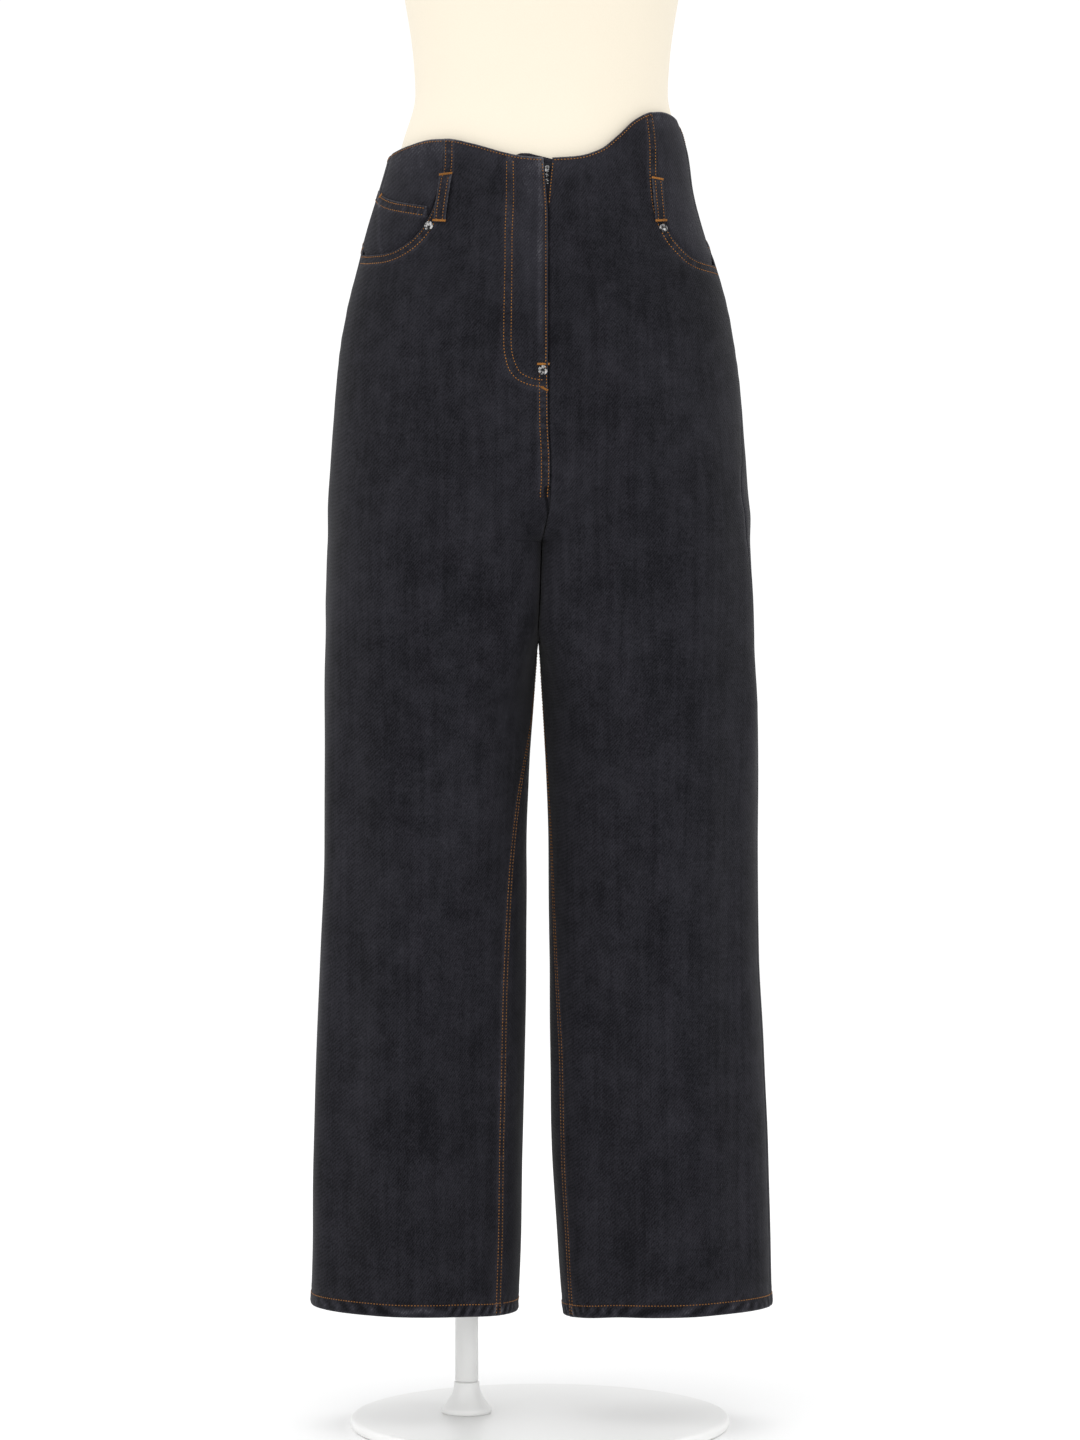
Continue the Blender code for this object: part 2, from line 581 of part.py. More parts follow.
def mouth_sink(side, angles, heights, layers):
    """How far the hip panel lies under the front at the pocket mouth, easing out above it."""
    mouth = smooth_curve(sorted(POCKET_MOUTH[side]))
    above = heights - mouth(angles)
    return (layers * LAYER + MOUTH_EASE) * (1 - smoothstep(above / MOUTH_RISE))


def hip_grid(side):
    """Angles and heights of the hip panel, whose rows meet the yoke's rows on the side seam."""
    mouth = POCKET_MOUTH[side][::-1]
    columns = len(mouth)
    low_angle = np.array([angle for angle, _ in mouth])
    low_z = np.array([z for _, z in mouth])
    top_angle = np.linspace(LOOP_SEAM[side][-1][0], side_seam[side](TOP_Z), columns)
    top_z = waist_edge[side](top_angle)
    top_z[-1] = seam_top(side)
    break_z = low_z + PLAIN_BREAK * (top_z - low_z)
    if side == WEARERS_RIGHT:
        break_z = np.maximum(smooth_curve(COIN_POCKET_TOP)(low_angle), low_z + 0.004)
    break_z[-1] = HIP_BREAK_Z[side]
    nodes = seam_nodes(side)
    below = [(z - low_z[-1]) / (break_z[-1] - low_z[-1]) for z in nodes[:2]]
    rows = [low_z - MOUTH_UNDERLAP, low_z - MOUTH_UNDERLAP / 2]
    rows += [low_z + (break_z - low_z) * share for share in (0.0, *below, 1.0)]
    rows += [break_z + (top_z - break_z) * share for share in HIP_ROWS_ABOVE]
    heights = np.array(rows)
    share = np.clip((heights - low_z) / (top_z - low_z), 0, 1)
    angles = low_angle * (1 - share) + top_angle * share
    front_end = seam_under_loop(side, heights[:, 0])
    angles[:, 0] = shifted_angle(side, front_end, heights[:, 0], LOOP_SEAM_GAP)
    last = heights[:, -1]
    angles[:, -1] = shifted_angle(side, side_seam[side](last), last, -SEAM_GAP / 2)
    return angles, heights


def seam_under_loop(side, heights):
    """The angle of the front's edge at heights above the pocket mouth's end."""
    ends = POCKET_MOUTH[side][-1:] + LOOP_SEAM[side]
    top = waist_edge[side](ends[-1][0])
    return np.interp(heights, [ends[0][1], ends[1][1], top], [angle for angle, _ in ends])


def hip_panel(side):
    """The panel above the pocket mouth, tucked under the front's edge, and the coin pocket on the
    wearer's right."""
    has_coin_pocket = side == WEARERS_RIGHT
    angles, heights = hip_grid(side)
    sink = -mouth_sink(side, angles, heights, 2 if has_coin_pocket else 1)
    points, normals = patch(f"hip_{SIDE_NAMES[side]}", side, angles, heights, sink, sink - CLOTH)
    if has_coin_pocket:
        part = (COIN_POCKET_ROWS, COIN_POCKET_COLUMNS)
        wall("coin_pocket", points[part], normals[part], sink[part] + LAYER,
             sink[part] + SEAM_GAP, True)


def strip_across_front(name, offsets, low, tops, outer, thickness):
    """A wall behind the fly. Its columns stand at distances from the middle line, the wearer's left
    being plus, and each ends at its own height."""
    share = np.linspace(0, 1, FLY_STRIP_ROWS)
    points = np.zeros((FLY_STRIP_ROWS, len(offsets), 3))
    normals = np.zeros_like(points)
    for column, (offset, top) in enumerate(zip(offsets, tops)):
        side = WEARERS_RIGHT if offset < 0 else WEARERS_LEFT
        heights = low + (top - low) * share
        angles = angle_at(side, np.full(FLY_STRIP_ROWS, abs(offset)), heights)
        points[:, column] = garment(side, angles, heights)
        normals[:, column] = surface_normal(garment, side, angles, heights)
    wall(name, points, normals, outer, outer - thickness, False)


def fly():
    """The shield and zip tape behind the fly, the slider and its pull."""
    tape_outer = -CLOTH - TAPE_EASE
    shield_outer = tape_outer - TAPE_THICKNESS - SEAM_GAP
    strip_across_front("zip_tape", TAPE_COLUMNS, TAPE_LOW_Z, [TAPE_TOP_Z] * len(TAPE_COLUMNS),
                       tape_outer, TAPE_THICKNESS)
    strip_across_front("fly_shield", [offset for offset, _ in SHIELD_TOP], SHIELD_LOW_Z,
                       [top for _, top in SHIELD_TOP], shield_outer, SHIELD_THICKNESS)
    zip_slider(tape_outer)


def frame_at(side, angle, z, lift):
    """A matrix on the garment surface: Z out of the cloth, Y up along it."""
    angle, z = np.array(float(angle)), np.array(float(z))
    out = Vector(surface_normal(garment, side, angle, z))
    place = Vector(garment(side, angle, z)) + out * lift
    up = (Vector((0, 0, 1)) - out * out.z).normalized()
    across = up.cross(out)
    return Matrix.Translation(place) @ Matrix((across, up, out)).transposed().to_4x4()


def add_mesh(name, mesh, colour, roughness, metallic=0.0):
    """Makes a piece of a finished bmesh."""
    mesh.normal_update()
    mesh.verts.index_update()
    vertices = [v.co.copy() for v in mesh.verts]
    faces = [tuple(v.index for v in face.verts) for face in mesh.faces]
    mesh.free()
    return make_object(name, vertices, faces, colour, roughness, metallic)


def rounded_box(size, place, bevel):
    """A box with bevelled edges, as a bmesh."""
    mesh = bmesh.new()
    bmesh.ops.create_cube(mesh, size=1.0)
    bmesh.ops.scale(mesh, vec=size, verts=mesh.verts)
    bmesh.ops.bevel(mesh, geom=list(mesh.edges), offset=bevel, segments=1, affect="EDGES")
    bmesh.ops.transform(mesh, matrix=place, verts=mesh.verts)
    return mesh


def zip_slider(seat):
    """The slider sits on the tape in the gaping top of the fly, and its pull hangs in front."""
    lift = seat + SEAM_GAP + SLIDER_SIZE[1] / 2
    place = frame_at(WEARERS_LEFT, angle_at(WEARERS_LEFT, ZIP_X, SLIDER_Z), SLIDER_Z, lift)
    width, depth, height = SLIDER_SIZE
    mesh = rounded_box((width, height, depth), place, 0.0007)
    add_mesh("zip_slider", mesh, METAL, 0.3, 1.0)
    pivot = place @ Vector((0, PULL_PIVOT_Z, depth / 2 + SEAM_GAP + PULL_THICKNESS / 2))
    zip_pull(Matrix.Translation(pivot) @ place.to_3x3().to_4x4())


def zip_pull(place):
    """The pull: a flat bar that hangs from the placed X axis, round at its upper end."""
    half, thick, tip = PULL_WIDTH / 2, PULL_THICKNESS / 2, -PULL_LENGTH
    outline = ((-half, 0.0), (half, 0.0), (half, tip + half), (half / 2, tip), (-half / 2, tip),
               (-half, tip + half))
    mesh = bmesh.new()
    lower = [mesh.verts.new((x, y, -thick)) for x, y in outline]
    upper = [mesh.verts.new((x, y, thick)) for x, y in outline]
    left, right = [lower[0]], [lower[1]]
    for k in range(1, PULL_CROWN):
        turn = math.pi * k / PULL_CROWN
        rise, out = thick * math.sin(turn), -thick * math.cos(turn)
        left.append(mesh.verts.new((-half, rise, out)))
        right.append(mesh.verts.new((half, rise, out)))
    left.append(upper[0])
    right.append(upper[1])
    faces = [lower, upper, left, right]
    for i in range(1, len(outline)):
        j = (i + 1) % len(outline)
        faces.append((lower[i], lower[j], upper[j], upper[i]))
    for k in range(PULL_CROWN):
        faces.append((left[k], left[k + 1], right[k + 1], right[k]))
    for face in faces:
        mesh.faces.new(face)
    bmesh.ops.recalc_face_normals(mesh, faces=mesh.faces)
    bmesh.ops.transform(mesh, matrix=place, verts=mesh.verts)
    add_mesh("zip_pull", mesh, METAL, 0.25, 1.0)


def loop_bow(share):
    """How far a belt loop stands off the cloth along its length."""
    rise = smoothstep(np.minimum(share, 1 - share) / LOOP_END_SHARE)
    return (LOOP_SEAT + LOOP_BOW * rise)[:, None]


def belt_loop(name, side, top_angle, top_z, low_angle, low_z):
    """A strip whose ends lie on the cloth and whose middle bows out to take a belt."""
    rows, columns = LOOP_ROWS, 3
    share = np.linspace(0, 1, rows)
    angles = low_angle + (top_angle - low_angle) * share
    heights = low_z + (top_z - low_z) * share
    grid_angles = np.stack([
        shifted_angle(side, angles, heights, offset)
        for offset in np.linspace(-LOOP_WIDTH / 2, LOOP_WIDTH / 2, columns)
    ], 1)
    grid_heights = np.repeat(heights[:, None], columns, 1)
    bow = loop_bow(share)
    patch(name, side, grid_angles, grid_heights, bow + LOOP_THICKNESS, bow)


def middle_loop():
    """The belt loop over the seat seam."""
    rows = LOOP_ROWS
    share = np.linspace(0, 1, rows)
    heights = MIDDLE_LOOP_TOP_Z - LOOP_LENGTH * (1 - share)
    points = np.zeros((rows, 3, 3))
    normals = np.zeros_like(points)
    for column, (side, angle) in enumerate(((WEARERS_LEFT, None), (WEARERS_LEFT, 270.0),
                                            (WEARERS_RIGHT, None))):
        if angle is None:
            angles = shifted_angle(side, np.full(rows, 270.0), heights, -LOOP_WIDTH / 2)
        else:
            angles = np.full(rows, angle)
        points[:, column] = garment(side, angles, heights)
        normals[:, column] = surface_normal(garment, side, angles, heights)
    bow = loop_bow(share)
    wall("belt_loop_back_middle", points, normals, bow + LOOP_THICKNESS, bow, False)


def turned(name, profile, place, segments, colour, roughness, metallic=0.0):
    """A solid of revolution about the placed Z axis, from (radius, height) points, lowest first."""
    vertices, rings = [], []
    for radius, height in profile:
        ring = []
        for k in range(segments):
            turn = 2 * math.pi * k / segments
            ring.append(len(vertices))
            vertices.append(place @ Vector((radius * math.cos(turn), radius * math.sin(turn), height)))
        rings.append(ring)
    faces = [tuple(reversed(rings[0])), tuple(rings[-1])]
    for low, high in zip(rings, rings[1:]):
        for k in range(segments):
            nxt = (k + 1) % segments
            faces.append((low[k], low[nxt], high[nxt], high[k]))
    return make_object(name, vertices, faces, colour, roughness, metallic)


def rivet(name, side, angle, z):
    """A domed rivet cap seated on the cloth."""
    r, h = RIVET_RADIUS, RIVET_HEIGHT
    profile = ((r * 0.94, 0.0), (r, h * 0.25), (r * 0.92, h * 0.6), (r * 0.62, h * 0.92), (r * 0.3, h))
    place = frame_at(side, angle, z, SEAM_GAP)
    turned(name, profile, place, 14, METAL, 0.3, 1.0)


def dress_form():
    """The limbless torso, its neck cap, and the stand whose pole runs inside the right leg."""
    curves = [smooth_curve([(row[0], row[k]) for row in FORM_RINGS]) for k in (1, 2, 3)]
    levels = [row[0] for row in FORM_RINGS]
    vertices, rings = [], []
    for z in levels:
        half_width, front, back = (float(curve(z)) for curve in curves)
        middle = (front + back) / 2
        half_depth = (back - front) / 2
        ring = []
        for k in range(FORM_SEGMENTS):
            turn = 2 * math.pi * k / FORM_SEGMENTS
            c, s = math.cos(turn), math.sin(turn)
            x = FORM_X + half_width * math.copysign(abs(c) ** (2 / FORM_POWER), c)
            y = middle + half_depth * math.copysign(abs(s) ** (2 / FORM_POWER), s)
            ring.append(len(vertices))
            vertices.append((x, y, z))
        rings.append(ring)
    faces = [tuple(reversed(rings[0])), tuple(rings[-1])]
    for low, high in zip(rings, rings[1:]):
        for k in range(FORM_SEGMENTS):
            nxt = (k + 1) % FORM_SEGMENTS
            faces.append((low[k], low[nxt], high[nxt], high[k]))
    make_object("form_torso", vertices, faces, FORM_CREAM, 0.7)
    top_z, half_width, front, back = FORM_RINGS[-1]
    cap_place = Matrix.Translation((FORM_X, (front + back) / 2, top_z + SEAM_GAP))
    cap_place = cap_place @ Matrix.Diagonal((half_width, (back - front) / 2, 1, 1))
    h = NECK_CAP_HEIGHT
    profile = ((0.90, 0.0), (1.02, h * 0.15), (1.02, h * 0.55), (0.94, h * 0.85), (0.75, h))
    turned("form_neck_cap", profile, cap_place, 28, STAND_WHITE, 0.4)
    stand(FORM_RINGS[0][0])


def stand(form_bottom):
    """Flange, pole, the collar that the pole stands on, and base."""
    h, r = FLANGE_HEIGHT, FLANGE_RADIUS
    top = form_bottom - SEAM_GAP
    place = Matrix.Translation((POLE_X, POLE_Y, top - h))
    turned("stand_flange", ((POLE_RADIUS * 1.3, 0.0), (r, h * 0.6), (r, h)), place, 24, STAND_WHITE, 0.4)
    place = Matrix.Translation((POLE_X, POLE_Y, 0))
    low = BASE_HEIGHT + SEAM_GAP
    high = low + COLLAR_HEIGHT
    profile = ((COLLAR_RADIUS, low), (COLLAR_RADIUS, low + 0.004), (POLE_RADIUS + 0.002, high - 0.002),
               (POLE_RADIUS, high))
    turned("stand_collar", profile, place, 20, STAND_WHITE, 0.4)
    ends = (high + SEAM_GAP, top - h - SEAM_GAP)
    turned("stand_pole", [(POLE_RADIUS, z) for z in ends], place, 20, STAND_WHITE, 0.4)
    b = BASE_HEIGHT
    profile = ((BASE_RADIUS - 0.003, 0.0), (BASE_RADIUS, 0.003), (BASE_RADIUS, b - 0.003),
               (BASE_RADIUS - 0.001, b - 0.001), (BASE_RADIUS - 0.004, b))
    turned("stand_base", profile, Matrix.Identity(4), 48, STAND_WHITE, 0.4)


def main():
    for piece in list(bpy.data.objects):
        bpy.data.objects.remove(piece)
    for side in (WEARERS_RIGHT, WEARERS_LEFT):
        front_panel(side)
        back_panel(side)
        back_yoke(side)
        hip_panel(side)
    fly()
    for loop in BELT_LOOPS:
        belt_loop(*loop)
    middle_loop()
    for cap in RIVETS:
        rivet(*cap)
    dress_form()


main()
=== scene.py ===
"""Looks of the wide-leg jeans on a dress form. Metres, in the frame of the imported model: +Z up,
the front of the garment faces -Y and the wearer's left is +X."""

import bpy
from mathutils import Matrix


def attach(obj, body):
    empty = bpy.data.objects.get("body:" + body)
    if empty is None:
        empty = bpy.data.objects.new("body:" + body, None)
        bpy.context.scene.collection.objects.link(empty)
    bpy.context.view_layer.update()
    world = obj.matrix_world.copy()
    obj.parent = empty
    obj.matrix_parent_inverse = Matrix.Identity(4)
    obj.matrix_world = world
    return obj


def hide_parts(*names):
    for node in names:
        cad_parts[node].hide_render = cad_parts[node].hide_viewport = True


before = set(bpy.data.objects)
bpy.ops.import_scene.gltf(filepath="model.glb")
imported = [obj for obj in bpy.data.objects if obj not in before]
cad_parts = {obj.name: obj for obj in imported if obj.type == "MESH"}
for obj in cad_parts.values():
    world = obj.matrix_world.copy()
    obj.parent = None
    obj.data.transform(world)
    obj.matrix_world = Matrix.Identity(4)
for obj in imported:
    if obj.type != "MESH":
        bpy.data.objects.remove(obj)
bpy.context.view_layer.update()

import math

import bpy
import numpy as np
from mathutils import Matrix, Vector
from mathutils.bvhtree import BVHTree
from mathutils.kdtree import KDTree

BODY = "dressed_form"
PULL_BODY = "pull_tab"

# Cloth and seams
CLOTH = 0.0015
SEAM_GAP = 0.0003
LOOP_SEAM_GAP = 0.0006
LAYER = CLOTH + SEAM_GAP
HEM_DEPTH = 0.012
HEM_EXTRA = 0.0012
MOUTH_UNDERLAP = 0.010
MOUTH_EASE = 0.0006
MOUTH_RISE = 0.012

# Trims
LOOP_WIDTH = 0.011
LOOP_LENGTH = 0.047
LOOP_THICKNESS = 0.0018
LOOP_BOW = 0.0012
RIVET_RADIUS = 0.0046
RIVET_HEIGHT = 0.0016
SHIELD_THICKNESS = 0.0012
TAPE_THICKNESS = 0.0007
TAPE_EASE = 0.0005
TAPE_SEAT = -CLOTH - TAPE_EASE
SHIELD_SEAT = TAPE_SEAT - TAPE_THICKNESS - SEAM_GAP
SLIDER_SIZE = (0.0040, 0.0030, 0.0062)
PULL_WIDTH = 0.0018
PULL_THICKNESS = 0.0010
PULL_LENGTH = 0.0105
PULL_PIVOT_Z = 0.0010
ZIP_X = 0.0003
SLIDER_Z = 1.1838
LOOP_SEAT = 0.0006
LOOP_END_SHARE = 0.22
LOOP_ROW = 0.0022
LOOP_TACKS = ((1, 0.10), (-2, -0.08))

# Zip teeth, and outlines of the slider (inset, level), of the pull (metres along it, thickness, width)
# and of a rivet's cap (radius, height), otherwise as shares of their sizes
TEETH_Z = (1.1700, 1.1795, 0.00125)
TOOTH_SIZE = (0.0024, 0.0010, 0.0012)
TOOTH_BEVEL = 0.22
TOOTH_INSET = 0.82
TOOTH_OFFSET = 0.0006
TOOTH_SEAT = TAPE_SEAT + 0.0007
SLIDER_LEVELS = ((0.80, -0.5), (0.97, -0.42), (1.0, -0.30), (1.0, -0.02), (0.90, 0.06), (0.62, 0.10),
                 (0.50, 0.22), (0.46, 0.40), (0.36, 0.48))
BRIDGE_LEVEL = 0.05
BRIDGE_SHARE = 0.55
PULL_SHAFT = ((-0.0012, 0.92, 0.96), (-0.0028, 0.70, 0.80), (-0.0046, 0.66, 0.76),
              (-0.0064, 0.74, 0.86), (-0.0082, 0.90, 0.97))
PULL_END = ((0.0026, 0.96, 1.0), (0.0014, 0.92, 1.0), (0.0006, 0.80, 0.86), (0.0001, 0.50, 0.55))
RIVET_PROFILE = (
    (0.90, 0.0), (0.97, 0.06), (1.0, 0.22), (0.99, 0.42), (0.94, 0.60), (0.87, 0.70), (0.80, 0.66),
    (0.74, 0.60), (0.68, 0.64), (0.62, 0.70), (0.56, 0.74), (0.50, 0.74), (0.44, 0.72), (0.38, 0.70),
    (0.34, 0.76), (0.28, 0.88), (0.18, 0.96), (0.08, 1.0),
)

# Dress form and stand
FORM_X = 0.0015
FORM_POWER = 2.2
FORM_SHRINK = 0.0003
NECK_CAP_HEIGHT = 0.012
BASE_RADIUS = 0.180
BASE_HEIGHT = 0.010
POLE_RADIUS = 0.011
POLE_X = -0.070
POLE_Y = 0.012
FLANGE_RADIUS = 0.034
FLANGE_HEIGHT = 0.006
COLLAR_RADIUS = 0.024
COLLAR_HEIGHT = 0.030

# Where the two legs join, and how high the cleft between them runs
CROTCH_Z = 0.838
FORK_RISE = 0.17
FORK_POWER = 1.5
FRONT_POWER = 2.25
BACK_POWER = 2.15
TOP_Z = 1.250
PRESSED_POWER = 5.5
PRESSED_Z = (0.660, 0.770, 0.880, 0.950)
LEVEL_ANGLE = 50
SWING_SHARE = 4 / 11
SWING_RISE = 0.060
BISECTIONS = 40

WEARERS_LEFT = 1
WEARERS_RIGHT = -1
SIDES = (WEARERS_RIGHT, WEARERS_LEFT)
SIDE_NAMES = {WEARERS_LEFT: "left", WEARERS_RIGHT: "right"}

# The garment's sections from hem to waist. mid is where the two halves meet, reach and inner are
# measured from there, front, back and centre are depths.
SECTION_COLUMNS = ("z", "mid", "reach_right", "reach_left", "inner_right", "inner_left",
                   "front", "back", "centre")
SECTIONS = (
    (0.105, 0.0000, 0.2184, 0.2214, 0.0210, 0.0220, -0.082, 0.088, 0.004),
    (0.167, 0.0000, 0.2166, 0.2199, 0.0185, 0.0176, -0.083, 0.089, 0.004),
    (0.262, -0.0015, 0.2142, 0.2189, 0.0150, 0.0130, -0.085, 0.091, 0.004),
    (0.357, -0.0020, 0.2105, 0.2154, 0.0122, 0.0114, -0.087, 0.093, 0.004),
    (0.452, -0.0022, 0.2064, 0.2107, 0.0106, 0.0111, -0.090, 0.096, 0.004),
    (0.548, -0.0024, 0.2030, 0.2098, 0.0102, 0.0106, -0.094, 0.100, 0.005),
    (0.624, -0.0026, 0.2024, 0.2106, 0.0078, 0.0080, -0.098, 0.104, 0.006),
    (0.681, -0.0022, 0.2029, 0.2098, 0.0042, 0.0048, -0.102, 0.109, 0.008),
    (0.738, -0.0014, 0.2030, 0.2060, 0.0012, 0.0012, -0.106, 0.113, 0.010),
    (0.755, -0.0007, 0.2035, 0.2050, 0.0002, 0.0002, -0.107, 0.115, 0.011),
    (0.790, 0.0013, 0.2055, 0.2020, 0.0002, 0.0002, -0.109, 0.118, 0.012),
    (0.838, 0.0030, 0.2054, 0.1972, 0.0002, 0.0002, -0.112, 0.123, 0.012),
    (0.871, 0.0082, 0.2105, 0.1917, 0.0002, 0.0002, -0.113, 0.128, 0.010),
    (0.910, 0.0081, 0.2083, 0.1885, 0.0002, 0.0002, -0.114, 0.133, 0.008),
    (0.948, 0.0066, 0.2040, 0.1870, 0.0002, 0.0002, -0.114, 0.135, 0.006),
    (0.986, 0.0064, 0.2008, 0.1843, 0.0002, 0.0002, -0.113, 0.134, 0.005),
    (1.024, 0.0066, 0.1971, 0.1791, 0.0002, 0.0002, -0.111, 0.130, 0.004),
    (1.062, 0.0066, 0.1904, 0.1724, 0.0002, 0.0002, -0.108, 0.124, 0.004),
    (1.100, 0.0066, 0.1808, 0.1620, 0.0002, 0.0002, -0.104, 0.116, 0.004),
    (1.138, 0.0064, 0.1712, 0.1488, 0.0002, 0.0002, -0.099, 0.108, 0.004),
    (1.176, 0.0062, 0.1595, 0.1395, 0.0002, 0.0002, -0.094, 0.101, 0.004),
    (1.205, 0.0060, 0.1508, 0.1359, 0.0002, 0.0002, -0.090, 0.096, 0.004),
    (TOP_Z, 0.0058, 0.1380, 0.1240, 0.0002, 0.0002, -0.085, 0.091, 0.004),
)

# Height of the waist edge round each half: angle (90 front middle, 180 side, 270 back middle), z
WAIST_EDGE = {
    WEARERS_RIGHT: ((90, 1.1938), (97, 1.1957), (103, 1.1997), (114, 1.2080), (126, 1.2141),
                    (134, 1.2147), (149, 1.2112), (166, 1.2072), (190, 1.2040), (230, 1.2050),
                    (270, 1.2070)),
    WEARERS_LEFT: ((90, 1.1938), (100, 1.1958), (109, 1.2029), (117, 1.2160), (127.4, 1.2323),
                   (138.8, 1.2411), (150, 1.2432), (165, 1.2403), (172.6, 1.2327), (182, 1.2200),
                   (195, 1.2100), (215, 1.2060), (240, 1.2060), (270, 1.2070)),
}

# The side seam's angle by height, and the inner leg seam's
SIDE_SEAM = {
    WEARERS_RIGHT: ((0.105, 186), (0.60, 184), (0.95, 182), (1.05, 177), (1.10, 171), (1.16, 168),
                    (TOP_Z, 168)),
    WEARERS_LEFT: ((0.105, 167), (0.40, 168), (0.60, 170), (0.69, 165), (0.80, 160), (0.88, 155),
                   (0.93, 166), (0.99, 175), (1.06, 175), (1.10, 172), (1.16, 170), (TOP_Z, 170)),
}
INNER_SEAM = {
    WEARERS_RIGHT: ((0.105, 35), (0.40, 36), (0.50, 33), (0.595, 24), (0.681, 7), (0.76, 2),
                    (CROTCH_Z, 0)),
    WEARERS_LEFT: ((0.105, 22), (0.34, 25), (0.442, 19), (0.574, 11), (0.681, 5), (0.76, 2),
                   (CROTCH_Z, 0)),
}

# The front pocket mouth from the side seam to the belt loop, then the seam up to the waist: angle, z
POCKET_MOUTH = {
    WEARERS_RIGHT: ((170.0, 1.1117), (157.2, 1.1090), (147.8, 1.1083), (141.6, 1.1101),
                    (136.3, 1.1152), (132.8, 1.1212), (130.3, 1.1280), (128.1, 1.1378),
                    (126.1, 1.1535)),
    WEARERS_LEFT: ((172.0, 1.1010), (158.8, 1.1012), (151.4, 1.1021), (145.5, 1.1050),
                   (139.6, 1.1152), (137.0, 1.1235), (135.7, 1.1318), (134.9, 1.1405),
                   (134.6, 1.1528)),
}
LOOP_SEAM = {
    WEARERS_RIGHT: ((125.4, 1.1830), (127.6, TOP_Z)),
    WEARERS_LEFT: ((136.1, 1.1862), (140.0, TOP_Z)),
}
COIN_POCKET_TOP = ((127.5, 1.1494), (134.7, 1.1540), (142.7, 1.1580), (153.9, 1.1639), (170, 1.1719))

# How far each edge of the fly stands off the middle line at the gaping top: z, right, left
FLY_GAPE = ((1.138, 0.0, 0.0), (1.159, 0.0003, 0.0017), (1.1695, 0.0008, 0.0027),
            (1.184, 0.0019, 0.0042), (1.1938, 0.0027, 0.0053))

# The zip tape's ends and extent, and the shield's top: distance from the middle line, z
TAPE_EXTENT = (-0.008, 0.010)
TAPE_LOW_Z, TAPE_TOP_Z = 1.020, 1.1890
SHIELD_LOW_Z = 1.000
SHIELD_TOP = ((-0.0295, 1.1972), (-0.0235, 1.1991), (-0.0180, 1.1991), (-0.0100, 1.1974),
              (-0.0014, 1.1953), (0.0050, 1.1936), (0.0120, 1.1925))

# Soft folds: side, angle, angular width, depth outwards, lowest and highest z
FOLD_COLUMNS = ("side", "angle", "width", "depth", "low", "high")
FOLDS = (
    (WEARERS_RIGHT, 62, 15, -0.0045, 0.05, 0.62),
    (WEARERS_RIGHT, 96, 14, 0.0030, 0.05, 0.80),
    (WEARERS_RIGHT, 128, 15, -0.0040, 0.10, 0.92),
    (WEARERS_RIGHT, 155, 12, 0.0030, 0.10, 0.95),
    (WEARERS_RIGHT, 222, 18, -0.0060, 0.05, 0.80),
    (WEARERS_RIGHT, 262, 18, 0.0045, 0.05, 0.74),
    (WEARERS_RIGHT, 306, 18, -0.0060, 0.05, 0.66),
    (WEARERS_LEFT, 62, 15, -0.0080, 0.02, 0.50),
    (WEARERS_LEFT, 100, 14, 0.0035, 0.02, 0.72),
    (WEARERS_LEFT, 133, 14, -0.0040, 0.12, 0.90),
    (WEARERS_LEFT, 156, 10, 0.0030, 0.60, 0.96),
    (WEARERS_LEFT, 226, 18, -0.0060, 0.05, 0.80),
    (WEARERS_LEFT, 266, 18, 0.0045, 0.05, 0.74),
    (WEARERS_LEFT, 308, 18, -0.0060, 0.05, 0.66),
)

# A fold starts over this height and fades out over this share of its run
FOLD_RISE = 0.08
FOLD_FADE = 0.45

# Hem height where each leg's cloth ends: middle height, and how much lower the inner side hangs
HEM = {WEARERS_RIGHT: (0.1138, 0.0032, 0.0010), WEARERS_LEFT: (0.1110, 0.0045, 0.0035)}

# Rows of a leg panel from above the hem: height on its inner edge, height on its outer edge
LEG_ROWS = (
    (0.165, 0.165), (0.240, 0.240), (0.320, 0.320), (0.400, 0.400), (0.470, 0.470),
    (0.535, 0.535), (0.590, 0.590), (0.640, 0.640), (0.690, 0.690), (0.735, 0.735),
    (0.775, 0.777), (0.812, 0.818), (0.832, 0.842), (CROTCH_Z, 0.856), (0.8388, 0.864),
    (0.8415, 0.873), (0.8465, 0.885), (0.8555, 0.901), (0.8710, 0.922),
)
FRONT_ROWS = (
    (0.8900, 0.950), (0.9100, 0.972), (0.9350, 0.997), (0.9600, 1.022), (0.9800, 1.045),
    (1.0000, 1.068), (1.0150, 1.088),
)
FRONT_TOP_ROWS = (1.028, 1.041, 1.055, 1.068, 1.080, 1.094, 1.108, 1.124, 1.142, 1.162, TOP_Z)

# The back yoke's lower edge at the side seam and at the back middle
YOKE_SIDE_Z = 1.128
YOKE_MIDDLE_Z = 1.092

# Rows of the back above the leg rows, on the side seam, at the edges and the middle of its patch
# pocket, and on the seat seam
BACK_ROWS = (
    (0.950, 0.945, 0.928, 0.8900), (0.972, 0.963, 0.956, 0.9150), (0.997, 0.986, 0.984, 0.9450),
    (1.022, 1.010, 1.010, 0.9750), (1.045, 1.032, 1.032, 1.0000), (1.068, 1.053, 1.053, 1.0250),
    (1.088, 1.072, 1.072, 1.0480),
)
POCKET_ROW_COUNT = 7
ABOVE_POCKET_Z = 1.0700
BACK_COLUMNS = 13
POCKET_COLUMNS = (3, 6, 9)

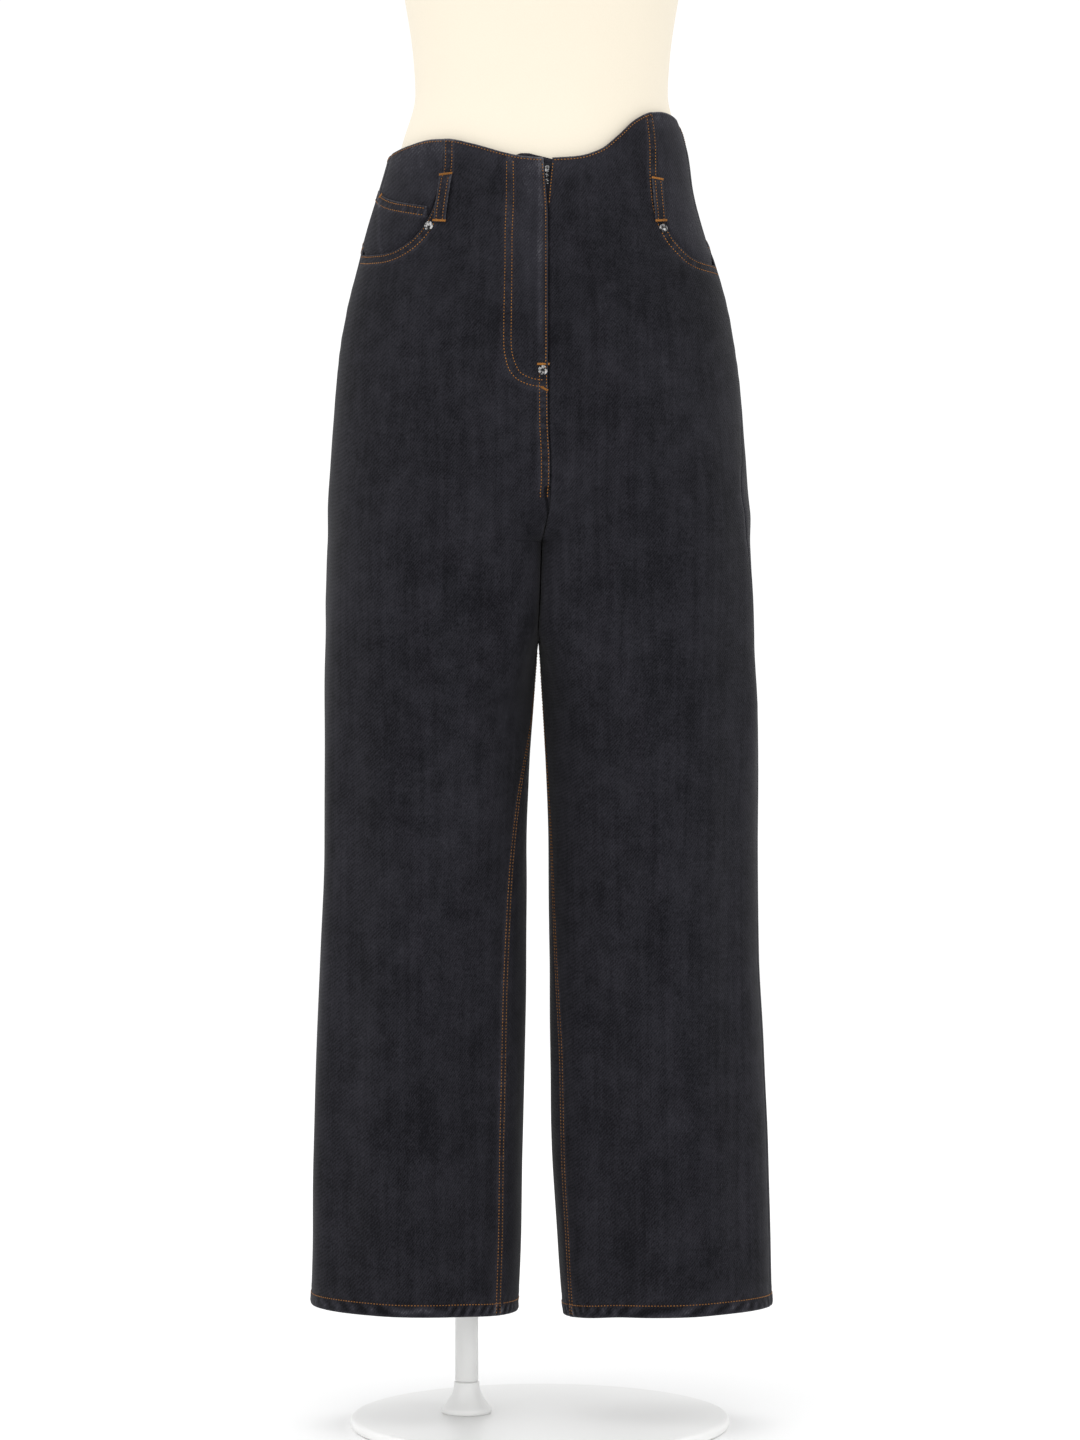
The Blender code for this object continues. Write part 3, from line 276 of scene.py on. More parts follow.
# Belt loops: name, side, angle and z at the top end, angle and z at the lower end
BELT_LOOPS = (
    ("belt_loop_front_right", WEARERS_RIGHT, 123.4, 1.1811, 122.7, 1.1351),
    ("belt_loop_front_left", WEARERS_LEFT, 135.0, 1.1784, 132.6, 1.1364),
    ("belt_loop_back_right", WEARERS_RIGHT, 222.0, 1.1900, 222.0, 1.1430),
    ("belt_loop_back_left", WEARERS_LEFT, 222.0, 1.1900, 222.0, 1.1430),
)
MIDDLE_LOOP_TOP_Z = 1.1900

# Rivets: name, side, angle, z
RIVETS = (
    ("rivet_pocket_right", WEARERS_RIGHT, 126.9, 1.1319),
    ("rivet_pocket_left", WEARERS_LEFT, 133.5, 1.1302),
    ("rivet_fly", WEARERS_RIGHT, 89.9, 0.9948),
)

# The dress form's rings: z, half width, front, back
FORM_RINGS = (
    (0.885, 0.120, -0.055, 0.070), (0.889, 0.138, -0.068, 0.086), (0.910, 0.151, -0.079, 0.100),
    (0.950, 0.160, -0.087, 0.110), (1.000, 0.165, -0.091, 0.115), (1.060, 0.164, -0.092, 0.112),
    (1.100, 0.1575, -0.0915, 0.104), (1.138, 0.1490, -0.0895, 0.0965),
    (1.176, 0.1420, -0.0865, 0.0915), (1.216, 0.1338, -0.0830, 0.0875),
    (1.267, 0.1205, -0.0800, 0.0830), (1.300, 0.1224, -0.0810, 0.0840),
    (1.357, 0.1307, -0.0880, 0.0900), (1.410, 0.1420, -0.1040, 0.0950),
    (1.450, 0.1500, -0.1110, 0.0980), (1.500, 0.1580, -0.1030, 0.0980),
    (1.550, 0.1700, -0.0870, 0.0930), (1.590, 0.1790, -0.0760, 0.0860),
    (1.615, 0.1770, -0.0680, 0.0770), (1.632, 0.1600, -0.0620, 0.0700),
    (1.648, 0.1250, -0.0560, 0.0640), (1.662, 0.0880, -0.0510, 0.0590),
    (1.680, 0.0620, -0.0480, 0.0560), (1.730, 0.0540, -0.0470, 0.0540),
)
FORM_LEVELS = ((FORM_RINGS[0][0], 0.915, 8), (0.915, 1.55, 90), (1.55, FORM_RINGS[-1][0], 60))
NECK_CAP_PROFILE = ((0.90, 0.0), (0.99, 0.04), (1.015, 0.14), (1.02, 0.30), (1.02, 0.55),
                    (1.0, 0.70), (0.96, 0.82), (0.90, 0.91), (0.82, 0.97), (0.70, 1.0))
FLANGE_RIM = ((0.94, 0.52), (0.99, 0.62), (1.0, 0.72), (1.0, 0.95), (0.985, 1.0))


def smooth_curve(points):
    """A curve through (x, y) points that never swings past them."""
    xs = np.array([p[0] for p in points], float)
    ys = np.array([p[1] for p in points], float)
    run = np.diff(xs)
    rise = np.diff(ys) / run
    slope = np.zeros(len(xs))
    slope[0], slope[-1] = rise[0], rise[-1]
    for i in range(1, len(xs) - 1):
        if rise[i - 1] * rise[i] > 0:
            near, far = 2 * run[i] + run[i - 1], run[i] + 2 * run[i - 1]
            slope[i] = (near + far) / (near / rise[i - 1] + far / rise[i])

    def value(x):
        x = np.clip(np.asarray(x, float), xs[0], xs[-1])
        i = np.clip(np.searchsorted(xs, x) - 1, 0, len(xs) - 2)
        t = (x - xs[i]) / run[i]
        start = (1 + 2 * t) * (1 - t) ** 2 * ys[i] + t * (1 - t) ** 2 * run[i] * slope[i]
        end = t * t * (3 - 2 * t) * ys[i + 1] + t * t * (t - 1) * run[i] * slope[i + 1]
        return start + end

    return value


def smoothstep(t):
    t = np.clip(t, 0.0, 1.0)
    return t * t * (3 - 2 * t)


def eased(x, start, full):
    """0 before a start, 1 past where it is full, which may be the lower of the two."""
    return smoothstep((x - start) / (full - start))


def between(x, low, full, fading, high):
    """1 from full to fading, easing to 0 at low and at high."""
    return eased(x, low, full) * eased(x, high, fading)


def mixed(first, last, share):
    return first * (1 - share) + last * share


def towards(pair, share):
    first, last = pair
    return first + (last - first) * share


def numbered_curve(values):
    """A curve through values at 0, 1, 2 and so on."""
    return smooth_curve(list(enumerate(values)))


section = {
    name: smooth_curve([(row[0], row[i]) for row in SECTIONS])
    for i, name in enumerate(SECTION_COLUMNS)
}
waist_edge = {side: smooth_curve(points) for side, points in WAIST_EDGE.items()}
side_seam = {side: smooth_curve(points) for side, points in SIDE_SEAM.items()}
inner_seam = {side: smooth_curve(points) for side, points in INNER_SEAM.items()}
fly_gape = {
    WEARERS_RIGHT: smooth_curve([(z, right) for z, right, _ in FLY_GAPE]),
    WEARERS_LEFT: smooth_curve([(z, left) for z, _, left in FLY_GAPE]),
}


def fork(z):
    """1 where the legs part at the crotch, falling to 0 where the front runs straight across."""
    return (1 - np.clip((z - CROTCH_Z) / FORK_RISE, 0, 1)) ** FORK_POWER


def pressed(z):
    """How squarely the other leg presses the front's inner corner at a height, from 0 to 1."""
    return between(z, *PRESSED_Z)


def outline(angle, z):
    """Where a half's outline runs at an angle, as shares of its half width and of its depth."""
    turn = np.radians(angle)
    cosine, sine = np.cos(turn), np.sin(turn)
    power = np.where(sine >= 0, FRONT_POWER, BACK_POWER)
    across = np.sign(cosine) * np.abs(cosine) ** (2 / power)
    deep = np.abs(sine) ** (2 / power)
    square = (np.abs(cosine) ** PRESSED_POWER + np.abs(sine) ** PRESSED_POWER) ** (1 / PRESSED_POWER)
    share = np.where((cosine > 0) & (sine > 0), pressed(z), 0.0)
    return across + share * (cosine / square - across), deep + share * (sine / square - deep)


def body_surface(side, angle, z):
    """Points of the garment's outer surface before its folds. The angle runs from 0 at the inner
    leg through 90 in front and 180 at the side to 270 behind."""
    name = SIDE_NAMES[side]
    reach, inner = section["reach_" + name](z), section["inner_" + name](z)
    merge = np.where(z > CROTCH_Z, fork(z), 1.0)
    half_width = (reach - inner) / (1 + merge)
    across, deep = outline(angle, z)
    out = inner + (merge - across) * half_width
    centre = section["centre"](z)
    depth = np.where(np.sin(np.radians(angle)) >= 0, section["front"](z), section["back"](z)) - centre
    return np.stack([section["mid"](z) + side * out, centre + depth * deep, z + 0 * out], -1)


def surface_normal(surface, side, angle, z):
    """Outward unit normals of a surface function."""
    d_angle, d_z = 0.05, 0.0002
    across = surface(side, angle + d_angle, z) - surface(side, angle - d_angle, z)
    along = surface(side, angle, z + d_z) - surface(side, angle, z - d_z)
    normal = side * np.cross(across, along)
    return normal / np.linalg.norm(normal, axis=-1, keepdims=True)


def fold_depth(side, angle, z):
    """How far the soft folds stand out from the body surface."""
    total = np.zeros(np.broadcast(angle, z).shape)
    for fold in FOLDS:
        row = dict(zip(FOLD_COLUMNS, fold))
        if row["side"] != side:
            continue
        fade = FOLD_FADE * (row["high"] - row["low"])
        along = smoothstep((z - row["low"]) / FOLD_RISE) * smoothstep((row["high"] - z) / fade)
        total = total + row["depth"] * along * np.exp(-(((angle - row["angle"]) / row["width"]) ** 2))
    return total


def garment(side, angle, z):
    """Points of the garment's outer surface, folds included."""
    angle, z = np.asarray(angle, float), np.asarray(z, float)
    normal = surface_normal(body_surface, side, angle, z)
    return body_surface(side, angle, z) + normal * fold_depth(side, angle, z)[..., None]


def middle_angle(z, in_front):
    """The angle at which a half's surface reaches the middle line."""
    merge = np.where(z > CROTCH_Z, fork(z), 1.0)
    if not in_front:
        return 360 - np.degrees(np.arccos(merge ** (BACK_POWER / 2)))
    low, high = np.zeros(np.shape(merge)), np.full(np.shape(merge), 90.0)
    for _ in range(BISECTIONS):
        half = (low + high) / 2
        short = outline(half, z)[0] > merge
        low, high = np.where(short, half, low), np.where(short, high, half)
    return high


def shifted_angle(side, angle, z, distance):
    """The angle a distance further round at one height."""
    step = 0.1
    ahead = body_surface(side, angle + step, z)
    behind = body_surface(side, angle - step, z)
    return angle + distance * 2 * step / np.linalg.norm(ahead - behind, axis=-1)


def angle_at(side, out, z):
    """The angle on the upper front at a distance out from the middle line."""
    share = np.clip(out / section["reach_" + SIDE_NAMES[side]](z), 0, 1)
    return 90 + np.degrees(np.arcsin(share ** (FRONT_POWER / 2)))


def across_front(start, end, z, share):
    """Angles at shares of a front's width. Just above the crotch only the inner columns swing out
    with the edge."""
    swing = np.where(z > CROTCH_Z, smoothstep((z - CROTCH_Z) / SWING_RISE), 1.0)
    knee = end * SWING_SHARE + start * (1 - SWING_SHARE) * swing
    inner = start + (knee - start) * share / SWING_SHARE
    outer = knee + (end - knee) * (share - SWING_SHARE) / (1 - SWING_SHARE)
    return np.where(share < SWING_SHARE, inner, outer)


def hem_z(side, angle):
    """Height of the hem round a leg: it drops towards the inner leg and arches up in front."""
    height, drop, arch = HEM[side]
    turn = np.radians(angle)
    return height - drop * np.cos(turn) + arch * np.maximum(np.sin(turn), 0)


# How finely each panel's grid is drawn: step at an edge, how deep that step runs in
EDGE_STEP = (0.0013, 0.0105)
SEAM_STEP = (0.0016, 0.0090)
HEM_STEP = (0.0014, 0.0150)
WAIST_STEP = (0.0014, 0.0080)
LOOP_STEP = (0.0010, 0.004)
FLY_STEP = 0.0038
FLY_REACH = 0.080
WIDE_STEP = 0.0078
ROW_STEP = 0.0032
BACK_ROW_STEP = ROW_STEP * 1.15
SMALL_STEP = 0.0028
POCKET_STEP = SMALL_STEP * 1.3
GROWTH = 0.22
EDGE_SAMPLES = 1500

# About how wide and how long each panel is, which spaces its grid
LEG_WIDTH = 0.30
POCKET_SIZE = 0.14
YOKE_SIZE = (0.24, 0.11)
HIP_SIZE = (0.11, 0.12)
COIN_SIZE = (0.10, 0.06)

# Measuring from an edge: how far in, how closely, how far along the grid to look, the step of a path
# along it, and where rays towards the front start
NEAR_REACH = 0.026
NEAR_STEP = 0.0006
NEAR_SEARCH = 2.6
PATH_STEP = 0.0014
IN_FRONT_Y = -0.5

# Rows of stitches, measured in from the seam's edge, and how far from its ends they stop
ROWS = (0.0019, 0.0082)
INSEAM_ROWS = (0.0020, 0.0067)
CROTCH_ROWS = (0.0011, 0.0077)
POCKET_TOP_ROWS = (0.0020, 0.0135)
COIN_ROWS = (0.0019, 0.0080)
WAIST_ROW = 0.0021
HEM_ROW = 0.0112
FLY_EDGE_ROW = 0.0015
LEFT_FLY_ROW = 0.0010
LEFT_FLY_ROW_LOW_Z = 1.150
ROW_END = 0.001
LONG_ROW_END = 0.002

# Stitches: where a stitch's rings stand along it, how wide and how high in radii, and their outline
STITCH_PITCH = 0.0030
STITCH_LENGTH = 0.0017
THREAD = 0.00040
STITCH_RINGS = ((0.0, 0.5, -0.8), (0.16, 1.0, 0.35), (0.84, 1.0, 0.35), (1.0, 0.5, -0.8))
STITCH_OUTLINE = ((1.0, 0.0), (0.12, 0.85), (-1.0, 0.0), (-0.12, -0.85))
TACK_PITCH = 0.00055
TACK_WIDTH = 0.0021
TACK_RISE = 0.0002
POCKET_TACK = 0.007

# A felled seam: its height, how far its band reaches past its outer row and how steeply it ends, the
# groove of each row, the puckers, and how worn or dark its parts are
FELL_HEIGHT = 0.00045
POCKET_FELL_HEIGHT = 0.0002
FELL_PAST_ROW = 0.0014
FELL_SLOPE = 0.0016
ROW_GROOVE = 0.00018
PUCKER = 0.00024
PUCKER_WAVE = 0.0086
GROOVE_WIDTHS = (0.0006, 0.0007)
SEAM_WEAR = 0.40
BAND_WEAR = 0.28
PUCKER_WEAR = 0.38
ROW_DARKNESS = 0.10
ROW_DARK_WIDTH = 0.0008
WORN_WIDTH = 0.0011

# The hem's rope: its wave, slant and wander, how high it stands on the hem and above it, and its wear
ROPE_WAVE = 0.0092
ROPE_SLANT = 0.45
ROPE_WANDER = (0.9, 0.0135)
ROPE_HEIGHT = 0.00045
ROPE_HEIGHT_ABOVE = 0.00022
ROPE_WEAR = 0.55
ROPE_WEAR_ABOVE = 0.16
ROPE_DARKNESS = 0.34
HEM_HEIGHT = 0.0005
HEM_PAST_FOLD = 0.0006
HEM_BODY = (0.0056, 0.0050)
HEM_ABOVE = (HEM_DEPTH + 0.004, 0.004)

# Ridges and grooves: weight, place and width. The place is a distance in from an edge, for the facing
# from the fly's rows, and for the fly's middle and line it is x. The facing's puckers have no weight
HEM_GROOVES = ((0.0002, HEM_ROW, 0.0008), (0.0006, 0.0, 0.0012))
HEM_EDGE_WEAR = (0.30, 0.0, 0.0016)
SEAM_ROLL = (0.0006, 0.0, 0.0035)
SEAM_RIPPLE = (0.00018, 0.004, 0.006)
SOFT_SEAM_WEAR = (0.10, 0.003, 0.003)
WAIST_GROOVE = (0.00016, WAIST_ROW, 0.0006)
WAIST_RIPPLE = (0.00012, 0.003, 0.004)
WAIST_WEAR = ((0.50, 0.0, 0.0011), (0.14, 0.006, 0.010))
FLY_GROOVE = (0.00016, 0.0018, 0.0006)
FLY_RIPPLE = (0.00014, 0.004, 0.005)
FLY_EDGE_WEAR = ((0.45, 0.0, 0.0013), (0.14, 0.006, 0.005))
FACING_GROOVE = (ROW_GROOVE, 0.0, 0.0007)
FACING_ROW_WEAR = (0.12, 0.0015, 0.0012)
FACING_BORDER_WEAR = (0.16, -0.0035, 0.0022)
FACING_PUCKERED = (0.0032, 0.004)
FLY_MIDDLE_WEAR = (0.16, -0.010, 0.010)
FLY_LINE_WEAR = (0.26, 0.0004, 0.0030)
LOOP_RIM = ((0.00022, 0.0015, 0.0011), (-0.00014, LOOP_ROW, 0.0005))
LOOP_EDGE_WEAR = (0.40, 0.0, 0.0012)

# The folded edges at the waist and the fly, the length of the ripples there, and worn cloth's creases
WAIST_HEIGHT = 0.00022
WAIST_DEPTH = 0.0034
WAIST_SLOPE = 0.0012
SEAM_WAVE = 0.021
WAIST_WAVE = 0.0075
FLY_WAVE = 0.0078
MOUTH_TURN = 0.004
CREASE = 0.00030
CREASE_MARGIN = 0.03

# Shells: how far an edge bulges and how softly it turns, as shares of the thickness, how much of the
# wear and painted light reaches the reverse, how much wear is added at an edge, and what rounds a size
# up to a millimetre
EDGE_BULGE = 0.28
EDGE_SOFTNESS = 0.16
REVERSE_WEAR = 0.4
EDGE_WEAR = 0.12
WHOLE_MM = 0.0005

# The fly, its bar tacks (place in x and z, direction, length), its facing, and the coin pocket's tack
# and inner seam
FLY_LOW_Z = 0.9885
CROTCH_ROWS_LOW_Z = 0.8765
FLY_TACKS = (((0.0031, 1.0004), (1, 0, 0), 0.0108), ((0.0041, 0.9775), (1, 0, -0.54), 0.0066))
FACING_HEIGHT = 0.00035
FACING_PUCKER = 0.00020
FACING_PUCKER_WEAR = 0.22
FLY_BEND_Z = 1.03
FLY_LINE_Z = 1.01
COIN_TACK_X = -0.1507
COIN_TACK = 0.0066
COIN_SEAM_X = -0.1500
COIN_SEAM_WIDTH = 0.0016

# The lap at the front middle: how far the right front reaches past the middle line, from where to
# where, the heights between which the left front stops sinking under it and the right one rises, and
# the painted shade on the left front's edge under it
LAP = 0.0011
LAP_Z = (0.880, 0.893, 1.138, 1.166)
LAP_SHIFT_Z = (0.985, 1.005)
LAP_SINK = (0.0014, 0.0002)
LAP_RISE = (0.0005, 0.0017)
LAP_REACH = (0.0030, 0.0075)
LAP_PAINTED_SHADE = 0.16

# How much narrower a back pocket is at its foot, and from which share of its height it narrows
POCKET_TAPER = 0.36
POCKET_TAPER_FROM = 0.66

# How much paler the parts are that rub
HIP_WEAR = 0.18
POCKET_WEAR = 0.10

# Where the thighs touch: heights at which that begins, is full and ends, how far from the middle plane
# seams are held back there, how much painted light pales the cloth there against the shade of the
# groove between them, and how the plane bends
TOUCHING_Z = (0.735, 0.755, 0.880)
TOUCHING_REACH = 0.006
TOUCHING_PAINTED_LIGHT = 0.12
SWAY = 0.0013
SWAY_LENGTH = 0.070
SWAY_REACH = 0.012
SWAY_MIDDLE_Y = 0.012
SWAY_LOW_Z, SWAY_HIGH_Z = 0.726, 0.8460
SWAY_END = 0.003

# The front's corners there: distances from the middle plane, and those that they are drawn to
CORNER_AWAY = (0.0002, 0.0045, 0.0140)
CORNER_DRAWN = (0.0002, 0.0006, 0.0140)
CORNER_HIGH_Z = 0.865
CORNER_END = 0.020

# The hollow at the foot of the crotch seam, which widens upwards from its least reach, and the painted
# shade that darkens it
DIMPLE = 0.0022
DIMPLE_LEAST = 0.0006
DIMPLE_REACH = {WEARERS_RIGHT: 0.0046, WEARERS_LEFT: 0.0012}
DIMPLE_Z = (0.853, 0.884)
DIMPLE_END = 0.005
DIMPLE_PAINTED_SHADE = 1.2

# The fly's curved rows, by x and z: the outer and the inner row
FLY_OUTER = (
    (-0.0310, 1.1916), (-0.0313, 1.1540), (-0.0323, 1.1256), (-0.0324, 1.0974), (-0.0335, 1.0349),
    (-0.0335, 1.0209), (-0.0331, 1.0135), (-0.0316, 1.0056), (-0.0300, 0.9987), (-0.0270, 0.9929),
    (-0.0224, 0.9875), (-0.0169, 0.9840), (-0.0108, 0.9816), (-0.0046, 0.9803), (0.0, 0.9796),
    (0.0062, 0.9791),
)
FLY_INNER = (
    (-0.0250, 1.1916), (-0.0246, 1.1540), (-0.0258, 1.1256), (-0.0260, 1.0974), (-0.0266, 1.0349),
    (-0.0267, 1.0209), (-0.0260, 1.0119), (-0.0243, 1.0048), (-0.0219, 0.9987), (-0.0185, 0.9929),
    (-0.0139, 0.9898), (-0.0085, 0.9875), (-0.0030, 0.9862), (0.0046, 0.9854),
)

# The seam allowances behind the long seams: places across them, how they are spaced, where they end
STRIP_SPREAD = (-0.0070, -0.0040, -0.0015, 0.0, 0.0015, 0.0040, 0.0070)
STRIP_STEP = 0.006
STRIP_END = 0.004
STRIP_THICKNESS = 0.0006
STRIP_SEAT = -CLOTH - 0.0004
SIDE_STRIP_TOP = 1.094
MIDDLE_STRIP_LOW_Z = CROTCH_Z + 0.0035
MIDDLE_STRIP_TOPS = (("front", True, 0.886), ("back", False, 1.198))
MIDDLE_STRIP_TUCK = 0.0011

MATERIALS = {}


def graded(length, near, far, widest):
    """Shares of a length, close together near its two ends."""
    def wanted(depth, rule):
        fine, reach = rule
        return fine if depth < reach else fine + (depth - reach) * GROWTH

    stops = [0.0]
    while stops[-1] < length:
        here = stops[-1]
        stops.append(here + min(wanted(here, near), wanted(length - here, far), widest))
    return np.array(stops) / stops[-1]


def run_length(path):
    steps = np.linalg.norm(np.diff(path, axis=0), axis=-1)
    return np.concatenate([[0.0], np.cumsum(steps)])


def sample(values, run, stops):
    return np.stack([np.interp(stops, run, values[:, i]) for i in range(3)], 1)


class Panel:
    """A grid of surface points with its edges: start and end across it, low and high along it."""

    def __init__(self, side, points, normals):
        self.side, self.points, self.normals = side, points, normals
        steps = np.linalg.norm(np.diff(points, axis=1), axis=-1)
        self.start = np.pad(np.cumsum(steps, 1), ((0, 0), (1, 0)))
        steps = np.linalg.norm(np.diff(points, axis=0), axis=-1)
        self.low = np.pad(np.cumsum(steps, 0), ((1, 0), (0, 0)))
        self.rough = {"start": self.start, "end": self.start[:, -1:] - self.start,
                      "low": self.low, "high": self.low[-1:] - self.low}
        self.across = self.start
        self.lift = np.zeros(self.start.shape)
        self.under = np.zeros(self.start.shape)
        self.wear_and_painted_light = np.zeros(self.start.shape)
        self.found = {}
        self.snapper = None
        self.base = 0.0

    def surface(self, extra=0.0):
        return self.points + self.normals * (self.lift + extra)[..., None]

    def line(self, edge, grid):
        return {"start": grid[:, 0], "end": grid[:, -1], "low": grid[0], "high": grid[-1]}[edge]

    def second(self, edge, grid):
        return {"start": grid[:, 1], "end": grid[:, -2], "low": grid[1], "high": grid[-2]}[edge]

    def near(self, edge, reach=NEAR_REACH):
        """Each point's distance from an edge, how far along it that is, and the height there."""
        if edge not in self.found:
            border = self.line(edge, self.points)
            run = run_length(border)
            stops = np.arange(0, run[-1], NEAR_STEP)
            places = sample(border, run, stops)
            tree = KDTree(len(places))
            for k, place in enumerate(places):
                tree.insert(place, k)
            tree.balance()
            depth = np.full(self.lift.shape, 1.0)
            along = np.zeros(self.lift.shape)
            height = np.zeros(self.lift.shape)
            for r, c in zip(*np.nonzero(self.rough[edge] < NEAR_SEARCH * reach)):
                place, k, distance = tree.find(self.points[r, c])
                if distance < reach:
                    depth[r, c], along[r, c], height[r, c] = distance, stops[k], place[2]
            self.found[edge] = (depth, along, height)
        return self.found[edge]

    def quads(self):
        rows, columns = self.lift.shape
        base = np.arange(rows * columns).reshape(rows, columns)
        quads = np.stack([base[:-1, :-1], base[:-1, 1:], base[1:, 1:], base[1:, :-1]], -1).reshape(-1, 4)
        return quads if self.side > 0 else quads[:, ::-1]

    def tree(self):
        if self.snapper is None:
            self.snapper = BVHTree.FromPolygons(self.surface(self.base).reshape(-1, 3).tolist(),
                                                self.quads().tolist())
        return self.snapper

    def snap(self, places):
        """The nearest points of the finished surface, and its normals there."""
        hits = [self.tree().find_nearest(Vector(place))[:2] for place in places]
        return np.array([h[0] for h in hits]), np.array([h[1] for h in hits])

    def cast(self, pairs):
        """Points of the surface seen from the front at x and z."""
        forwards = Vector((0, 1, 0))
        hits = [self.tree().ray_cast(Vector((x, IN_FRONT_Y, z)), forwards)[:2] for x, z in pairs]
        hits = [hit for hit in hits if hit[0] is not None]
        return np.array([h[0] for h in hits]), np.array([h[1] for h in hits])

    def beside(self, edge, distance, first=0.0, last=0.0):
        """A path a distance in from an edge, between distances from the edge's two ends."""
        border = self.line(edge, self.points)
        inward = self.second(edge, self.points) - border
        tangent = np.gradient(border, axis=0)
        tangent /= np.linalg.norm(tangent, axis=-1, keepdims=True)
        inward -= tangent * np.sum(inward * tangent, -1, keepdims=True)
        inward /= np.linalg.norm(inward, axis=-1, keepdims=True)
        run = run_length(border)
        stops = np.arange(first, run[-1] - last, PATH_STEP)
        away = sample(inward, run, stops)
        return self.snap(sample(border, run, stops) + away * distance)

    def run_at(self, edge, z):
        """How far along an edge it first reaches a height."""
        border = self.line(edge, self.points)
        return float(run_length(border)[np.argmax(border[:, 2] >= z)])


def ripple(x, wave, shift):
    """An uneven wave."""
    turn = 2 * np.pi * np.asarray(x) / wave
    slow = np.sin(turn / 3.7 + 2 * shift)
    return 0.7 * np.sin(turn + shift + 1.1 * slow) + 0.3 * np.sin(turn * 1.43 + 3 * shift)


def ridge(depth, centre, width):
    return np.exp(-(((depth - centre) / width) ** 2))


def ridges(depth, *terms):
    """Ridges added up, each given by its weight, centre and width."""
    return sum(weight * ridge(depth, centre, width) for weight, centre, width in terms)


def felled(panel, edge, rows, shift, reach=1.0, height=FELL_HEIGHT):
    """Raises the folded band along a seam and puckers it between its rows of stitches."""
    depth, run, _ = panel.near(edge)
    first, last = rows
    width = last + FELL_PAST_ROW
    middle = (first + last) / 2
    band = smoothstep((width - depth) / FELL_SLOPE)
    pull, pulled = ripple(run, PUCKER_WAVE, shift), ridge(depth, middle, middle)
    grooves = ridge(depth, first, GROOVE_WIDTHS[0]) + ridge(depth, last, GROOVE_WIDTHS[1])
    worn = SEAM_WEAR * ridge(depth, 0.0, WORN_WIDTH) + BAND_WEAR * ridge(depth, width, WORN_WIDTH)
    panel.lift += reach * (height * band - ROW_GROOVE * grooves)
    panel.lift += reach * PUCKER * pull * pulled
    panel.wear_and_painted_light += reach * worn
    panel.wear_and_painted_light += reach * PUCKER_WEAR * np.clip(pull, 0, 1) * pulled
    panel.wear_and_painted_light -= reach * ROW_DARKNESS * ridge(depth, first, ROW_DARK_WIDTH)


def soft_seam(panel, edge, reach=1.0):
    """A plain seam: the cloth rolls in towards it."""
    depth, run, _ = panel.near(edge)
    panel.lift -= reach * ridges(depth, SEAM_ROLL)
    panel.lift += reach * ripple(run, SEAM_WAVE, 1.3) * ridges(depth, SEAM_RIPPLE)
    panel.wear_and_painted_light += reach * ridges(depth, SOFT_SEAM_WEAR)


def hemmed(panel, shift):
    """The turned-up hem, roped by its stitching."""
    depth, run, _ = panel.near("low")
    wander, length = ROPE_WANDER
    turn = 2 * np.pi * (run + ROPE_SLANT * depth) / ROPE_WAVE
    rope = np.sin(turn + shift + wander * np.sin(run / length))
    pale, dark = np.clip(rope, 0, 1), np.clip(-rope, 0, 1)
    band = smoothstep((HEM_DEPTH + HEM_PAST_FOLD - depth) / FELL_SLOPE)
    body, above = ridge(depth, *HEM_BODY), ridge(depth, *HEM_ABOVE)
    panel.lift += HEM_HEIGHT * band + ROPE_HEIGHT * rope * body
    panel.lift -= ridges(depth, *HEM_GROOVES)
    panel.lift += ROPE_HEIGHT_ABOVE * rope * above
    panel.under += HEM_EXTRA * smoothstep((HEM_DEPTH - depth) / 0.002)
    panel.wear_and_painted_light += ROPE_WEAR * pale * body + ridges(depth, HEM_EDGE_WEAR)
    panel.wear_and_painted_light += ROPE_WEAR_ABOVE * pale * above - ROPE_DARKNESS * dark * body


def waist_edged(panel, shift):
    """The faced waist edge."""
    depth, run, _ = panel.near("high")
    panel.lift += WAIST_HEIGHT * smoothstep((WAIST_DEPTH - depth) / WAIST_SLOPE)
    panel.lift += ripple(run, WAIST_WAVE, shift) * ridges(depth, WAIST_RIPPLE) - ridges(depth, WAIST_GROOVE)
    panel.wear_and_painted_light += ridges(depth, *WAIST_WEAR)


def creased(panel, shift, strength=1.0):
    """The slight unevenness of worn cloth."""
    x, y = panel.across, panel.low
    slanted = np.sin((x + 0.35 * y) / 0.0171 + 1.9 * np.sin(y / 0.083 + shift))
    slanted = slanted * np.sin(y / 0.052 + shift)
    upright = np.sin(x / 0.0093 + shift + 2.2 * np.sin(y / 0.061))
    edge = np.minimum.reduce(list(panel.rough.values()))
    panel.lift += strength * CREASE * (slanted + 0.6 * upright) * smoothstep(edge / CREASE_MARGIN)


def linked(name, data):
    """An object of its data, linked into the scene."""
    piece = bpy.data.objects.new(name, data)
    bpy.context.scene.collection.objects.link(piece)
    return piece


def mesh_object(name, vertices, faces):
    mesh = bpy.data.meshes.new(name)
    mesh.from_pydata(np.asarray(vertices).tolist(), [], [[int(v) for v in face] for face in faces])
    mesh.update()
    mesh.shade_smooth()
    return linked(name, mesh)


def settle(piece, slot, *nodes, body=BODY):
    """Gives a piece its body, and hides the CAD nodes that it stands for. The slot is not used."""
    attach(piece, body)
    if nodes:
        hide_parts(*nodes)
    return piece


def border_cells(rows, columns):
    """Rows and columns of a grid's edge, in order all round."""
    border = [(0, c) for c in range(columns)]
    border += [(r, columns - 1) for r in range(1, rows)]
    border += [(rows - 1, c) for c in range(columns - 2, -1, -1)]
    border += [(r, 0) for r in range(rows - 2, 0, -1)]
    return np.array(border).T


